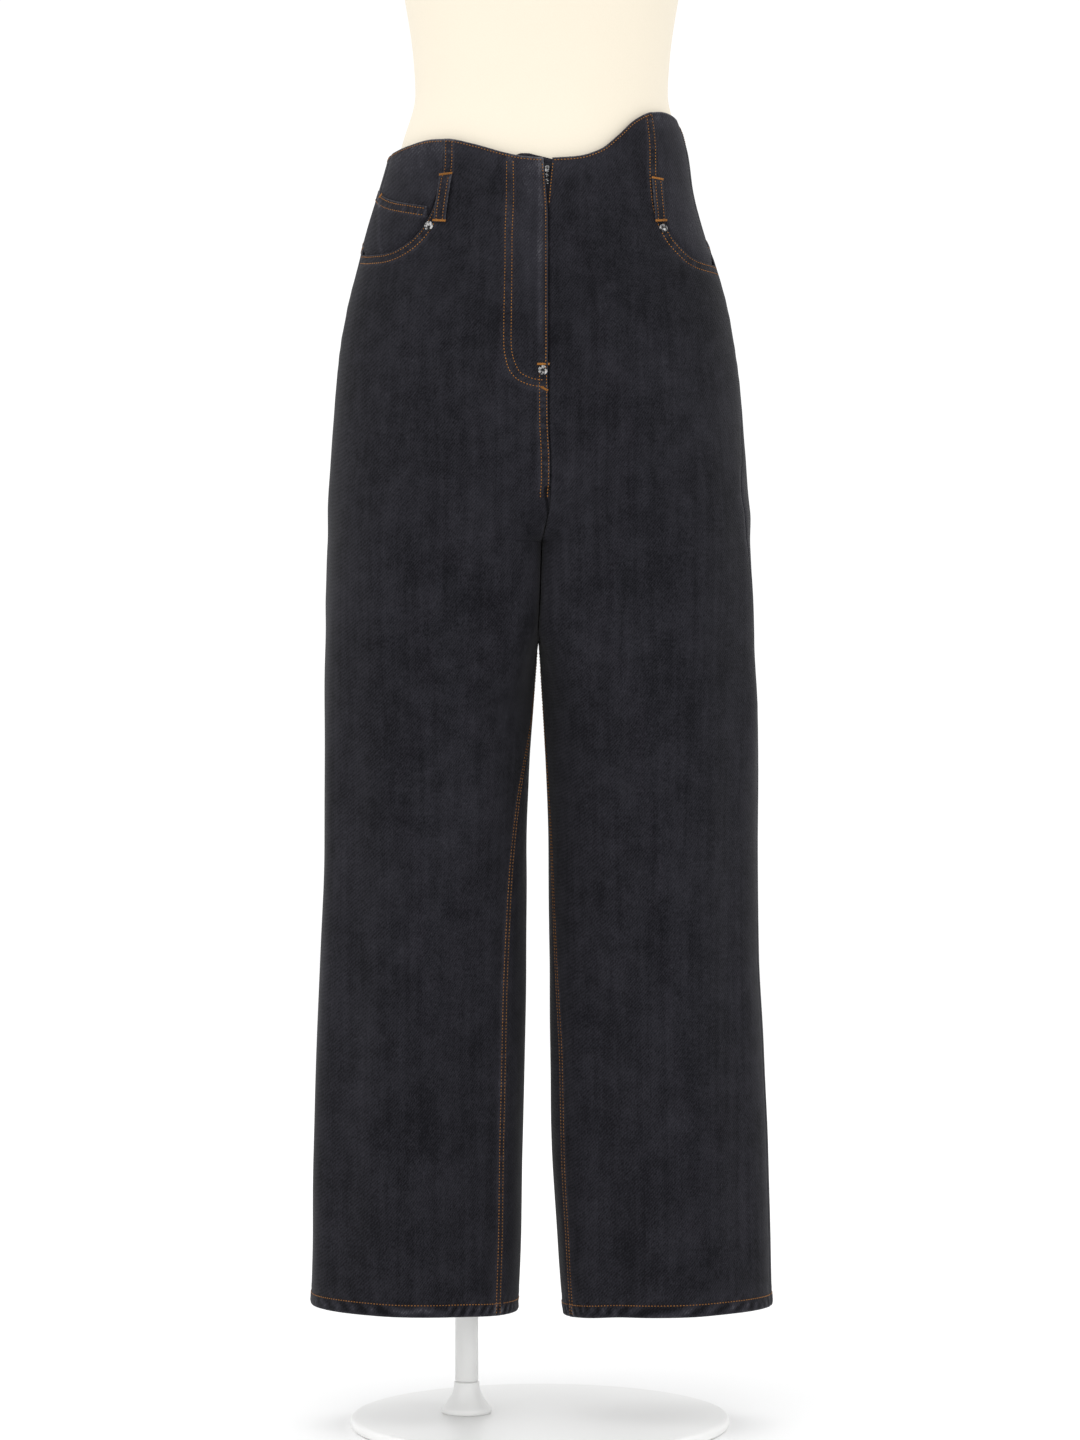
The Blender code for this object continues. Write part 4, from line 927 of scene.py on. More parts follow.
def shell_faces(panel, ring, quads):
    """Faces of a shell: its front, its back and two rings of quads round its edge."""
    count = panel.lift.size
    mid = 2 * count + np.arange(len(ring))
    following, mid_following = np.roll(ring, -1), np.roll(mid, -1)
    upper = np.stack([ring, mid, mid_following, following], -1)
    lower = np.stack([mid, ring + count, following + count, mid_following], -1)
    if panel.side < 0:
        upper, lower = upper[:, ::-1], lower[:, ::-1]
    return np.concatenate([quads, quads[:, ::-1] + count, upper, lower])


def shell(name, panel, thickness=CLOTH, rounded=(), stands_for=True):
    """A closed piece of cloth, soft at its edges and rounded at the named ones, which stands for the
    node of its name. Its reverse has the second material."""
    rows, columns = panel.lift.shape
    outer = panel.surface(panel.base)
    inner = panel.surface(panel.base - thickness) - panel.normals * panel.under[..., None]
    r, c = border_cells(rows, columns)
    push = np.zeros((len(r), 3))
    sides = {"low": (r == 0, 1, 0), "high": (r == rows - 1, -1, 0),
             "start": (c == 0, 0, 1), "end": (c == columns - 1, 0, -1)}
    for edge in rounded:
        on, dr, dc = sides[edge]
        away = outer[r[on], c[on]] - outer[r[on] + dr, c[on] + dc]
        push[on] += away / np.linalg.norm(away, axis=-1, keepdims=True)
    middle = (outer[r, c] + inner[r, c]) / 2 + push * thickness * EDGE_BULGE
    soft = panel.normals[r, c] * thickness * EDGE_SOFTNESS
    outer[r, c] -= soft
    inner[r, c] += soft
    ring, quads = r * columns + c, panel.quads()
    vertices = np.concatenate([outer.reshape(-1, 3), inner.reshape(-1, 3), middle])
    piece = mesh_object(f"cloth_{name}", vertices, shell_faces(panel, ring, quads))
    weave(piece.data, panel, ring, len(quads))
    settle(piece, "denim", *([name] if stands_for else []))
    width, length = float(panel.start[:, -1].max()), float(panel.low[-1].max())
    width, length = round(width + WHOLE_MM, 3), round(length + WHOLE_MM, 3)
    cells = np.diff(panel.start, axis=1)[:-1] * np.diff(panel.low, axis=0)[:, :-1]


def weave(mesh, panel, ring, quad_count):
    """Gives a shell its place in the weave, its wear and painted light, and its two materials."""
    cut = np.stack([panel.across, panel.low], -1).reshape(-1, 2)
    cut = np.concatenate([cut, cut, cut[ring]]).astype(np.float32)
    corners = np.zeros(len(mesh.loops), np.int32)
    mesh.loops.foreach_get("vertex_index", corners)
    mesh.uv_layers.new(name="weave").data.foreach_set("uv", cut[corners].ravel())
    wear_and_painted_light = panel.wear_and_painted_light.reshape(-1)
    wear_and_painted_light = np.concatenate([wear_and_painted_light, wear_and_painted_light * REVERSE_WEAR, wear_and_painted_light[ring] + EDGE_WEAR]).astype(np.float32)
    mesh.attributes.new("wear_and_painted_light", "FLOAT", "POINT").data.foreach_set("value", wear_and_painted_light)
    mesh.materials.append(MATERIALS["denim"])
    mesh.materials.append(MATERIALS["denim_reverse"])
    slots = np.zeros(len(mesh.polygons), np.int32)
    slots[quad_count:2 * quad_count] = 1
    mesh.polygons.foreach_set("material_index", slots)


class Stitching:
    """Collects stitches, each a short thread whose ends go down into the cloth."""

    def __init__(self):
        self.vertices, self.faces = [], []

    def stitch(self, first, last, out):
        along = last - first
        length = np.linalg.norm(along)
        along = along / length
        out = out - along * (out @ along)
        out = out / np.linalg.norm(out)
        across = np.cross(along, out)
        base = len(self.vertices)
        for share, wide, high in STITCH_RINGS:
            centre = first + along * length * share + out * THREAD * high
            for a, b in STITCH_OUTLINE:
                self.vertices.append(centre + (across * a + out * b) * THREAD * wide)
        for k in range(3):
            for i in range(4):
                j = (i + 1) % 4
                low = base + 4 * k
                self.faces.append((low + i, low + 4 + i, low + 4 + j, low + j))
        self.faces.append((base, base + 1, base + 2, base + 3))
        self.faces.append((base + 15, base + 14, base + 13, base + 12))

    def row(self, path, normals):
        """Stitches along a path."""
        run = run_length(path)
        starts = np.arange(0.0006, run[-1] - STITCH_LENGTH, STITCH_PITCH)
        firsts, lasts = sample(path, run, starts), sample(path, run, starts + STITCH_LENGTH)
        outs = sample(normals, run, starts + STITCH_LENGTH / 2)
        for first, last, out in zip(firsts, lasts, outs):
            self.stitch(first, last, out)

    def rows(self, panel, edge, distances, first=ROW_END, last=ROW_END):
        for distance in distances:
            self.row(*panel.beside(edge, distance, first, last))

    def tack(self, centre, across, out, length):
        """A bar tack: close stitches side by side."""
        centre, across, out = (np.array(x, float) for x in (centre, across, out))
        out /= np.linalg.norm(out)
        across -= out * (out @ across)
        across /= np.linalg.norm(across)
        up = np.cross(out, across)
        count = round(length / TACK_PITCH)
        for k in range(count + 1):
            at = centre + across * (k / count - 0.5) * length + out * TACK_RISE
            half = up * TACK_WIDTH / 2 * (1 + 0.10 * math.sin(k * 1.7)) + across * 0.0002
            self.stitch(at - half, at + half, out)

    def make(self, name):
        piece = mesh_object(f"stitching_{name}", self.vertices, self.faces)
        piece.data.materials.append(MATERIALS["thread"])
        return settle(piece, "denim")


def panel_at(side, angles, heights):
    return Panel(side, garment(side, angles, heights), surface_normal(garment, side, angles, heights))


def laid(side, place, across, along):
    """A panel from a function of shares that gives angles and heights."""
    return panel_at(side, *place(*np.meshgrid(across, along)))


def seam_start(side, z, in_front):
    """The angle of a panel's edge along the middle line and the inner leg seam."""
    above = z > CROTCH_Z
    below_angle = inner_seam[side](z) + (0 if in_front else 360)
    angle = np.where(above, middle_angle(z, in_front), below_angle)
    gap = np.where(above, 0.0, SEAM_GAP / 2) * (1 if in_front else -1)
    return shifted_angle(side, angle, z, gap)


def on_side_seam(side, z, gap):
    return shifted_angle(side, side_seam[side](z), z, gap)


def hem_drop(side, angles, heights):
    """How much a leg's lowest rows move to follow the hem."""
    base = HEM[side][0]
    fade = np.clip((LEG_ROWS[0][0] - heights) / (LEG_ROWS[0][0] - base - HEM_DEPTH), 0, 1)
    return (hem_z(side, angles) - base) * fade


def rows_along(side, place, near, far, widest, kept=()):
    """A panel's rows as shares, spaced by the longer of the steps on its two edges. The kept shares
    stay."""
    fine = np.linspace(0, 1, EDGE_SAMPLES)
    edges = [garment(side, *place(np.full(EDGE_SAMPLES, u), fine)) for u in (0.0, 1.0)]
    steps = np.maximum(*(np.linalg.norm(np.diff(edge, axis=0), axis=1) for edge in edges))
    run = np.concatenate([[0.0], np.cumsum(steps)])
    shares = np.interp(graded(run[-1], near, far, widest) * run[-1], run, fine)
    for share in kept:
        shares[np.argmin(np.abs(shares - share))] = share
    return shares


def leg_rows(side):
    """A leg panel's lowest rows: heights on its inner and its outer edge."""
    base = HEM[side][0]
    return [(base, base), (base + HEM_DEPTH, base + HEM_DEPTH), *LEG_ROWS]


def with_fly(across):
    """Shares across the right front, evenly spaced where the fly's rows bend."""
    width = across * LEG_WIDTH
    inside = (width > EDGE_STEP[1]) & (width < FLY_REACH)
    fly = np.arange(width[inside][0], FLY_REACH, FLY_STEP) / LEG_WIDTH
    return np.concatenate([across[width <= EDGE_STEP[1]], fly, across[width >= FLY_REACH]])


def front_panel(side):
    """A front's grid, and how far up its outer edge the pocket mouth starts."""
    leg = leg_rows(side) + list(FRONT_ROWS)
    mouth = POCKET_MOUTH[side] + LOOP_SEAM[side]
    inner = [row[0] for row in leg] + list(FRONT_TOP_ROWS)
    inner[-1] = float(waist_edge[side](90))
    outer = [row[1] for row in leg] + [z for _, z in mouth]
    outer[-1] = float(waist_edge[side](mouth[-1][0]))
    tip, last = len(leg), len(inner) - 1
    inner_curve, outer_curve = numbered_curve(inner), numbered_curve(outer)
    tip_angle = float(on_side_seam(side, np.array(outer[tip]), -SEAM_GAP / 2))
    mouth_angles = [tip_angle] + [angle for angle, _ in mouth[1:]]
    mouth_curve = smooth_curve([(tip + k, -angle) for k, angle in enumerate(mouth_angles)])

    def place(u, v):
        row = v * last
        start_z, end_z = inner_curve(row), outer_curve(row)
        gape = np.where(start_z > FLY_GAPE[0][0], fly_gape[side](start_z), 0.0)
        start = np.where(gape > 0, angle_at(side, gape, start_z), seam_start(side, start_z, True))
        if side == WEARERS_RIGHT:
            start = shifted_angle(side, start, start_z, -LAP * lapped(start_z))
        end = np.where(row < tip, on_side_seam(side, end_z, -SEAM_GAP / 2), -mouth_curve(row))
        angles = across_front(start, end, start_z, u)
        level = np.maximum(start, LEVEL_ANGLE)
        heights = start_z + (end_z - start_z) * np.clip((angles - level) / (end - level), 0, 1)
        top_start = angle_at(side, fly_gape[side](inner[-1]), inner[-1])
        wave = waist_edge[side](mixed(top_start, mouth_angles[-1], u)) - mixed(inner[-1], outer[-1], u)
        heights = heights + np.clip((row - (tip - 1)) / (last - tip + 1), 0, 1) ** 1.5 * wave
        return angles, heights + hem_drop(side, angles, heights)

    along = rows_along(side, place, HEM_STEP, WAIST_STEP, ROW_STEP, kept=(tip / last,))
    across = graded(LEG_WIDTH, EDGE_STEP, EDGE_STEP, WIDE_STEP)
    if side == WEARERS_RIGHT:
        across = with_fly(across)
    panel = laid(side, place, across, along)
    panel.points = swayed(squared(panel.points))
    panel.across = -panel.rough["end"]
    turn = run_length(panel.points[:, -1])[np.argmin(np.abs(along - tip / last))]
    return panel, float(turn)


def front_cloth(side):
    name = SIDE_NAMES[side]
    panel, turn = front_panel(side)
    creased(panel, 0.4 + side)
    hemmed(panel, 0.3 * side)
    waist_edged(panel, side)
    _, _, z = panel.near("start")
    low, high, _ = TOUCHING_Z
    felled(panel, "start", INSEAM_ROWS, 0.8 * side, eased(z, high, low))
    _, run, _ = panel.near("end")
    felled(panel, "end", ROWS, 1.7 * side, smoothstep((run - turn + MOUTH_TURN) / MOUTH_TURN))
    soft_seam(panel, "end", smoothstep((turn - run) / MOUTH_TURN))
    sewing = Stitching()
    total = float(run_length(panel.points[:, 0])[-1])
    if side == WEARERS_RIGHT:
        fly_front(panel, sewing, total)
    else:
        lapped_under(panel)
        first = panel.run_at("start", LEFT_FLY_ROW_LOW_Z)
        sewing.rows(panel, "start", (LEFT_FLY_ROW,), first, LONG_ROW_END)
    kept_apart(panel)
    dimpled(panel)
    sewing.rows(panel, "start", INSEAM_ROWS, LONG_ROW_END, total - panel.run_at("start", low))
    sewing.rows(panel, "end", ROWS, turn + ROW_END)
    sewing.rows(panel, "high", (WAIST_ROW,))
    sewing.rows(panel, "low", (HEM_ROW,))
    sewing.make(f"front_{name}")
    shell(f"front_{name}", panel, rounded=("low", "high"))


def lapped(z):
    """Where the right front laps over the left at the middle, from 0 to 1."""
    return between(z, *LAP_Z)


def lapped_under(panel):
    """Sinks the left front's edge under the right front's, and darkens it there with painted shade."""
    depth, _, z = panel.near("start")
    sink = towards(LAP_SINK, eased(z, *LAP_SHIFT_Z))
    panel.lift -= sink * lapped(z) * eased(depth, LAP_REACH[0], LAP)
    # Painted shade: the left front's edge darkened where it runs under the right front's lap.
    panel.wear_and_painted_light -= LAP_PAINTED_SHADE * lapped(z) * smoothstep((0.0035 - depth) / 0.0020)


def kept_apart(panel):
    """Holds creases and seams back where the pressed thighs touch; painted light pales the groove between
    them.
    """
    x, z = panel.points[..., 0], panel.points[..., 2]
    low, high, top = TOUCHING_Z
    away = np.abs(x - section["mid"](z))
    near = 1 - smoothstep(away / TOUCHING_REACH)
    held = eased(z, low, high) * (z < top) * near
    panel.lift = np.where(z < top, np.minimum(panel.lift * (1 - held), away), panel.lift)
    # Painted light: paler cloth along the groove between the thighs, against its shade.
    panel.wear_and_painted_light += TOUCHING_PAINTED_LIGHT * held * near


def squared(points):
    """Draws the rounded front corners together where the thighs touch, so that the groove stays narrow."""
    x, y, z = points[..., 0], points[..., 1], points[..., 2]
    low, high, _ = TOUCHING_Z
    away = x - section["mid"](z)
    held = eased(z, low, high) * smoothstep((CORNER_HIGH_Z - z) / CORNER_END) * (y < 0)
    held = held * ((np.abs(away) > CORNER_AWAY[0]) & (np.abs(away) < CORNER_AWAY[-1]))
    points = points.copy()
    points[..., 0] += (np.sign(away) * np.interp(np.abs(away), CORNER_AWAY, CORNER_DRAWN) - away) * held
    return points


def swayed(points):
    """Bends the plane where the thighs touch, so that no light passes between them."""
    x, y, z = points[..., 0], points[..., 1], points[..., 2]
    held = eased(z, SWAY_LOW_Z, TOUCHING_Z[1]) * smoothstep((SWAY_HIGH_Z - z) / SWAY_END)
    near = ridge(x - section["mid"](z), 0.0, SWAY_REACH)
    points = points.copy()
    points[..., 0] += SWAY * held * near * np.sin(2 * np.pi * (y - SWAY_MIDDLE_Y) / SWAY_LENGTH)
    return points


def dimpled(panel):
    """The hollow at the lower end of the crotch seam, sunk in and darkened with painted shade."""
    z = panel.points[..., 2]
    low, high = DIMPLE_Z
    deep = eased(z, low, high) * smoothstep((high + DIMPLE_END - z) / DIMPLE_END)
    reach = DIMPLE_LEAST + DIMPLE_REACH[panel.side] * np.clip((z - low) / (high - low), 0, 1)
    deep = deep * smoothstep(1.2 - panel.rough["start"] / reach)
    panel.lift -= DIMPLE * deep
    # Painted shade: the hollow's cloth is darkened in colour.
    panel.wear_and_painted_light -= DIMPLE_PAINTED_SHADE * deep


def fly_front(panel, sewing, total):
    """The right front's lap over the left: the seam below the fly, the fly's facing and its rows."""
    depth, run, z = panel.near("start")
    felled(panel, "start", CROTCH_ROWS, 2.1, lapped(z) * smoothstep((FLY_LOW_Z - z) / 0.003))
    up = eased(z, *LAP_SHIFT_Z)
    reach = towards(LAP_REACH, up)
    panel.lift += towards(LAP_RISE, up) * lapped(z) * smoothstep((reach - depth) / reach)
    fly_facing(panel)
    fly_edge(panel, depth, run, smoothstep((z - FLY_LOW_Z) / 0.004))
    sewing.rows(panel, "start", CROTCH_ROWS, panel.run_at("start", CROTCH_ROWS_LOW_Z),
                total - panel.run_at("start", FLY_LOW_Z + 0.002))
    sewing.rows(panel, "start", (FLY_EDGE_ROW,), panel.run_at("start", FLY_LOW_Z + 0.004), 0.003)
    for curve in (FLY_OUTER, FLY_INNER):
        points = np.array(curve)
        run = run_length(points)
        bend = [smooth_path(points, run, k) for k in (0, 1)]
        stops = np.arange(0.0, run[-1], PATH_STEP)
        sewing.row(*panel.cast(np.stack([line(stops) for line in bend], 1)))
    for place, across, length in FLY_TACKS:
        sewing.tack(panel.cast([place])[0][0], across, (0, -1, 0), length)


def fly_facing(panel):
    """The facing shows through as a faint step along the fly's curved rows."""
    x, z = panel.points[..., 0], panel.points[..., 2]
    away = line_distance(x, z, np.array(FLY_OUTER))
    limit = smooth_curve(sorted((z, x) for x, z in FLY_OUTER))
    inside = np.where((x > limit(z)) & (z > FLY_OUTER[-1][1]), away, -away)
    pull, pulled = ripple(panel.low, PUCKER_WAVE, 0.9), ridge(inside, *FACING_PUCKERED)
    panel.lift += smoothstep((inside + 0.0010) / FELL_SLOPE) * FACING_HEIGHT
    panel.wear_and_painted_light += ridges(inside, FACING_BORDER_WEAR) * smoothstep((FLY_BEND_Z - z) / 0.03)
    for curve in (FLY_OUTER, FLY_INNER):
        away = line_distance(x, z, np.array(curve))
        panel.lift -= ridges(away, FACING_GROOVE)
        panel.wear_and_painted_light += ridges(away, FACING_ROW_WEAR)
    panel.lift += FACING_PUCKER * pull * pulled
    panel.wear_and_painted_light += FACING_PUCKER_WEAR * np.clip(pull, 0, 1) * pulled
    panel.wear_and_painted_light += ridges(x, FLY_MIDDLE_WEAR) * smoothstep((z - FLY_BEND_Z) / 0.05)
    panel.wear_and_painted_light += ridges(x, FLY_LINE_WEAR) * smoothstep((z - FLY_LINE_Z) / 0.02)


def fly_edge(panel, depth, run, up):
    """The fly's folded edge, stitched close by."""
    fold = WAIST_HEIGHT * smoothstep((WAIST_DEPTH - depth) / WAIST_SLOPE)
    panel.lift += up * (fold - ridges(depth, FLY_GROOVE))
    panel.lift += up * ripple(run, FLY_WAVE, 0.5) * ridges(depth, FLY_RIPPLE)
    panel.wear_and_painted_light += up * ridges(depth, *FLY_EDGE_WEAR)


def smooth_path(points, run, k):
    """A cubic through one coordinate of a path, which may swing both ways."""
    slope = np.gradient(points[:, k], run)

    def value(stops):
        i = np.clip(np.searchsorted(run, stops) - 1, 0, len(run) - 2)
        span = run[i + 1] - run[i]
        t = (stops - run[i]) / span
        first = (1 + 2 * t) * (1 - t) ** 2 * points[i, k] + t * (1 - t) ** 2 * span * slope[i]
        return first + t * t * (3 - 2 * t) * points[i + 1, k] + t * t * (t - 1) * span * slope[i + 1]

    return value


def line_distance(x, z, path):
    """Distance from a path of x and z points."""
    best = np.full(x.shape, 1.0)
    for (x0, z0), (x1, z1) in zip(path, path[1:]):
        span = (x1 - x0) ** 2 + (z1 - z0) ** 2
        share = np.clip(((x - x0) * (x1 - x0) + (z - z0) * (z1 - z0)) / span, 0, 1)
        best = np.minimum(best, np.hypot(x - x0 - share * (x1 - x0), z - z0 - share * (z1 - z0)))
    return best


def back_cloth(side):
    name = SIDE_NAMES[side]
    rows = leg_rows(side) + [(row[3], row[0]) for row in BACK_ROWS]
    rows.append((ABOVE_POCKET_Z, POCKET_MOUTH[side][0][1]))
    rows.append((YOKE_MIDDLE_Z - SEAM_GAP / 2, YOKE_SIDE_Z - SEAM_GAP / 2))
    last = len(rows) - 1
    inner_curve, outer_curve = (numbered_curve([row[k] for row in rows]) for k in (0, 1))

    def place(u, v):
        outer, inner = outer_curve(v * last), inner_curve(v * last)
        angles = mixed(on_side_seam(side, outer, SEAM_GAP / 2), seam_start(side, inner, False), u)
        return angles, mixed(outer, inner, u) + hem_drop(side, angles, mixed(outer, inner, u))

    along = rows_along(side, place, HEM_STEP, SEAM_STEP, BACK_ROW_STEP)
    panel = laid(side, place, graded(LEG_WIDTH, SEAM_STEP, EDGE_STEP, WIDE_STEP), along)
    panel.points = swayed(panel.points)
    creased(panel, 2.4 + side)
    hemmed(panel, 1.3 * side)
    _, _, z = panel.near("end")
    above = smoothstep((z - CROTCH_Z) / 0.006)
    soft_seam(panel, "start")
    soft_seam(panel, "end", 1 - above)
    kept_apart(panel)
    sewing = Stitching()
    if side == WEARERS_LEFT:
        felled(panel, "end", ROWS, 0.7, above)
        sewing.rows(panel, "end", ROWS, panel.run_at("end", CROTCH_Z + 0.004))
    felled(panel, "high", ROWS, 1.1 * side)
    sewing.rows(panel, "high", ROWS)
    sewing.rows(panel, "low", (HEM_ROW,))
    shell(f"back_{name}", panel, rounded=("low",))
    back_pocket(side, sewing)
    sewing.make(f"back_{name}")


def back_pocket(side, sewing):
    """The pointed patch pocket on the back."""
    curves = [numbered_curve(heights) for heights in zip(*BACK_ROWS[:POCKET_ROW_COUNT])]
    last = POCKET_ROW_COUNT - 1
    first_share, last_share = (POCKET_COLUMNS[k] / (BACK_COLUMNS - 1) for k in (0, -1))

    def place(u, v):
        outer, edge, middle, inner = (curve(v * last) for curve in curves)
        width = 1 - POCKET_TAPER * np.clip((POCKET_TAPER_FROM - v) / POCKET_TAPER_FROM, 0, 1)
        share = first_share + (last_share - first_share) * width * u
        angles = mixed(on_side_seam(side, outer, SEAM_GAP / 2), seam_start(side, inner, False), share)
        return angles, middle + (edge - middle) * np.abs(2 * u - 1)

    stops = graded(POCKET_SIZE, EDGE_STEP, EDGE_STEP, POCKET_STEP)
    pointed = stops.copy()
    pointed[np.argmin(np.abs(pointed - 0.5))] = 0.5
    panel = laid(side, place, pointed, stops)
    panel.base = LAYER
    for edge in ("start", "end", "low"):
        felled(panel, edge, ROWS, 1.9 + side, height=POCKET_FELL_HEIGHT)
    felled(panel, "high", POCKET_TOP_ROWS, 0.6)
    for edge, rows in (("start", ROWS), ("end", ROWS), ("low", ROWS), ("high", POCKET_TOP_ROWS)):
        sewing.rows(panel, edge, rows, LONG_ROW_END, LONG_ROW_END)
    places, outs = panel.beside("high", 0.003)
    for k in (3, -4):
        sewing.tack(places[k], (1, 0, 0), outs[k], POCKET_TACK)
    panel.wear_and_painted_light += POCKET_WEAR
    shell(f"back_pocket_{SIDE_NAMES[side]}", panel, rounded=("low", "high", "start", "end"))


def yoke_cloth(side):
    name = SIDE_NAMES[side]
    side_angle = float(side_seam[side](TOP_Z))
    side_top, middle_top = float(waist_edge[side](side_angle)), float(waist_edge[side](270))

    def place(u, v):
        low = mixed(YOKE_SIDE_Z, YOKE_MIDDLE_Z, u) + SEAM_GAP / 2
        high = waist_edge[side](side_angle + (270 - side_angle) * u)
        start_z = mixed(YOKE_SIDE_Z + SEAM_GAP / 2, side_top, v)
        end_z = mixed(YOKE_MIDDLE_Z + SEAM_GAP / 2, middle_top, v)
        start = on_side_seam(side, start_z, SEAM_GAP / 2)
        return mixed(start, seam_start(side, end_z, False), u), mixed(low, high, v)

    width, length = YOKE_SIZE
    panel = laid(side, place, graded(width, SEAM_STEP, EDGE_STEP, WIDE_STEP * 0.7),
                 graded(length, SEAM_STEP, WAIST_STEP, SMALL_STEP))
    creased(panel, 3.4 + side, 0.7)
    waist_edged(panel, 2 + side)
    soft_seam(panel, "start")
    soft_seam(panel, "low", 0.6)
    sewing = Stitching()
    if side == WEARERS_LEFT:
        felled(panel, "end", ROWS, 0.7)
        sewing.rows(panel, "end", ROWS)
    sewing.rows(panel, "high", (WAIST_ROW,))
    sewing.make(f"yoke_{name}")
    shell(f"back_yoke_{name}", panel, rounded=("high",))


def mouth_sink(side, angles, heights, layers):
    """How far the hip panel lies under the front at the pocket mouth, easing out above it."""
    mouth = smooth_curve(sorted(POCKET_MOUTH[side]))
    above = heights - mouth(angles)
    return (layers * LAYER + MOUTH_EASE) * (1 - smoothstep(above / MOUTH_RISE))


def seam_under_loop(side, heights):
    """The angle of the front's edge at heights above the pocket mouth's end."""
    ends = POCKET_MOUTH[side][-1:] + LOOP_SEAM[side]
    top = float(waist_edge[side](ends[-1][0]))
    curve = smooth_curve([(ends[0][1], ends[0][0]), (ends[1][1], ends[1][0]), (top, ends[2][0])])
    return curve(heights)


def hip_cloth(side):
    name = SIDE_NAMES[side]
    mouth = POCKET_MOUTH[side][::-1]
    final = len(mouth) - 1
    angle_curve, z_curve = (numbered_curve([point[k] for point in mouth]) for k in (0, 1))
    first_top, last_top = LOOP_SEAM[side][-1][0], float(side_seam[side](TOP_Z))

    def ruled(u, share_of):
        """Angles and heights on lines from the pocket mouth up to the waist."""
        low_angle, low_z = angle_curve(u * final), z_curve(u * final)
        top_angle = mixed(first_top, last_top, u)
        top_z = waist_edge[side](top_angle)
        heights = share_of(low_angle, low_z, top_z)
        share = np.clip((heights - low_z) / (top_z - low_z), 0, 1)
        edge = shifted_angle(side, seam_under_loop(side, heights), heights, LOOP_SEAM_GAP)
        edge = edge - mixed(float(mouth[0][0]), first_top, share)
        seam = on_side_seam(side, heights, -SEAM_GAP / 2) - mixed(float(mouth[-1][0]), last_top, share)
        return mixed(low_angle, top_angle, share) + edge * (1 - u) ** 3 + seam * u ** 3, heights

    def place(u, v):
        return ruled(u, lambda angle, low, top: low - MOUTH_UNDERLAP + (top - low + MOUTH_UNDERLAP) * v)

    layers = 2 if side == WEARERS_RIGHT else 1
    width, length = HIP_SIZE
    across = graded(width, SEAM_STEP, SEAM_STEP, SMALL_STEP)
    along = graded(length, (SMALL_STEP, 0.0), WAIST_STEP, SMALL_STEP)
    panel = laid(side, place, across, along)
    panel.lift -= mouth_sink(side, *place(*np.meshgrid(across, along)), layers)
    creased(panel, 4.4 + side, 0.6)
    waist_edged(panel, 3 + side)
    soft_seam(panel, "end")
    panel.wear_and_painted_light += HIP_WEAR
    sewing = Stitching()
    if side == WEARERS_RIGHT:
        sewing.rows(panel, "high", (WAIST_ROW,))
        coin_cloth(side, ruled, final, sewing)
    shell(f"hip_{name}", panel, rounded=("high",))
    if sewing.vertices:
        sewing.make(f"hip_{name}")


def coin_cloth(side, ruled, final, sewing):
    """The coin pocket, its top edge hemmed with two rows."""
    first = 1 / final
    top_curve = smooth_curve(COIN_POCKET_TOP)

    def place(u, v):
        def height(angle, low, top):
            high = np.maximum(top_curve(angle), low + 0.004)
            return low - MOUTH_UNDERLAP / 2 + (high - low + MOUTH_UNDERLAP / 2) * v
        return ruled(first + (1 - first) * u, height)

    width, length = COIN_SIZE
    across = graded(width, SEAM_STEP, SEAM_STEP, SMALL_STEP)
    along = graded(length, (0.002, 0.0), EDGE_STEP, 0.0024)
    panel = laid(side, place, across, along)
    panel.lift -= mouth_sink(side, *place(*np.meshgrid(across, along)), 2)
    panel.base = LAYER
    felled(panel, "high", COIN_ROWS, 2.2)
    panel.wear_and_painted_light += POCKET_WEAR
    sewing.rows(panel, "high", COIN_ROWS, LONG_ROW_END)
    places, outs = panel.beside("high", 0.0012, LONG_ROW_END, LONG_ROW_END)
    k = int(np.argmin(np.abs(places[:, 0] - COIN_TACK_X)))
    sewing.tack(places[k], (1, 0, 0.1), outs[k], COIN_TACK)
    x = panel.points[..., 0]
    inseam = ridge(x, COIN_SEAM_X, COIN_SEAM_WIDTH)
    panel.lift += 0.0005 * inseam
    panel.wear_and_painted_light += 0.22 * inseam - 0.10 * ridge(x, COIN_SEAM_X - 0.0035, COIN_SEAM_WIDTH)
    shell("coin_pocket", panel, rounded=("high",))


def seam_strips():
    """The seam allowances inside, pressed flat behind each long seam."""
    spread = np.array(STRIP_SPREAD)
    for side in SIDES:
        bottom = HEM[side][0] + HEM_DEPTH + STRIP_END
        tops = (("inner", inner_seam, CROTCH_Z - STRIP_END), ("side", side_seam, SIDE_STRIP_TOP))
        for name, seam, top in tops:
            heights = np.arange(bottom, top, STRIP_STEP)[:, None] + 0 * spread
            panel = panel_at(side, shifted_angle(side, seam[side](heights), heights, spread), heights)
            strip(f"{name}_seam_{SIDE_NAMES[side]}", Panel(side, swayed(panel.points), panel.normals))
    for name, in_front, top in MIDDLE_STRIP_TOPS:
        heights = np.arange(MIDDLE_STRIP_LOW_Z, top, STRIP_STEP)
        strip(f"{name}_middle_seam", middle_strip(spread, heights, in_front))


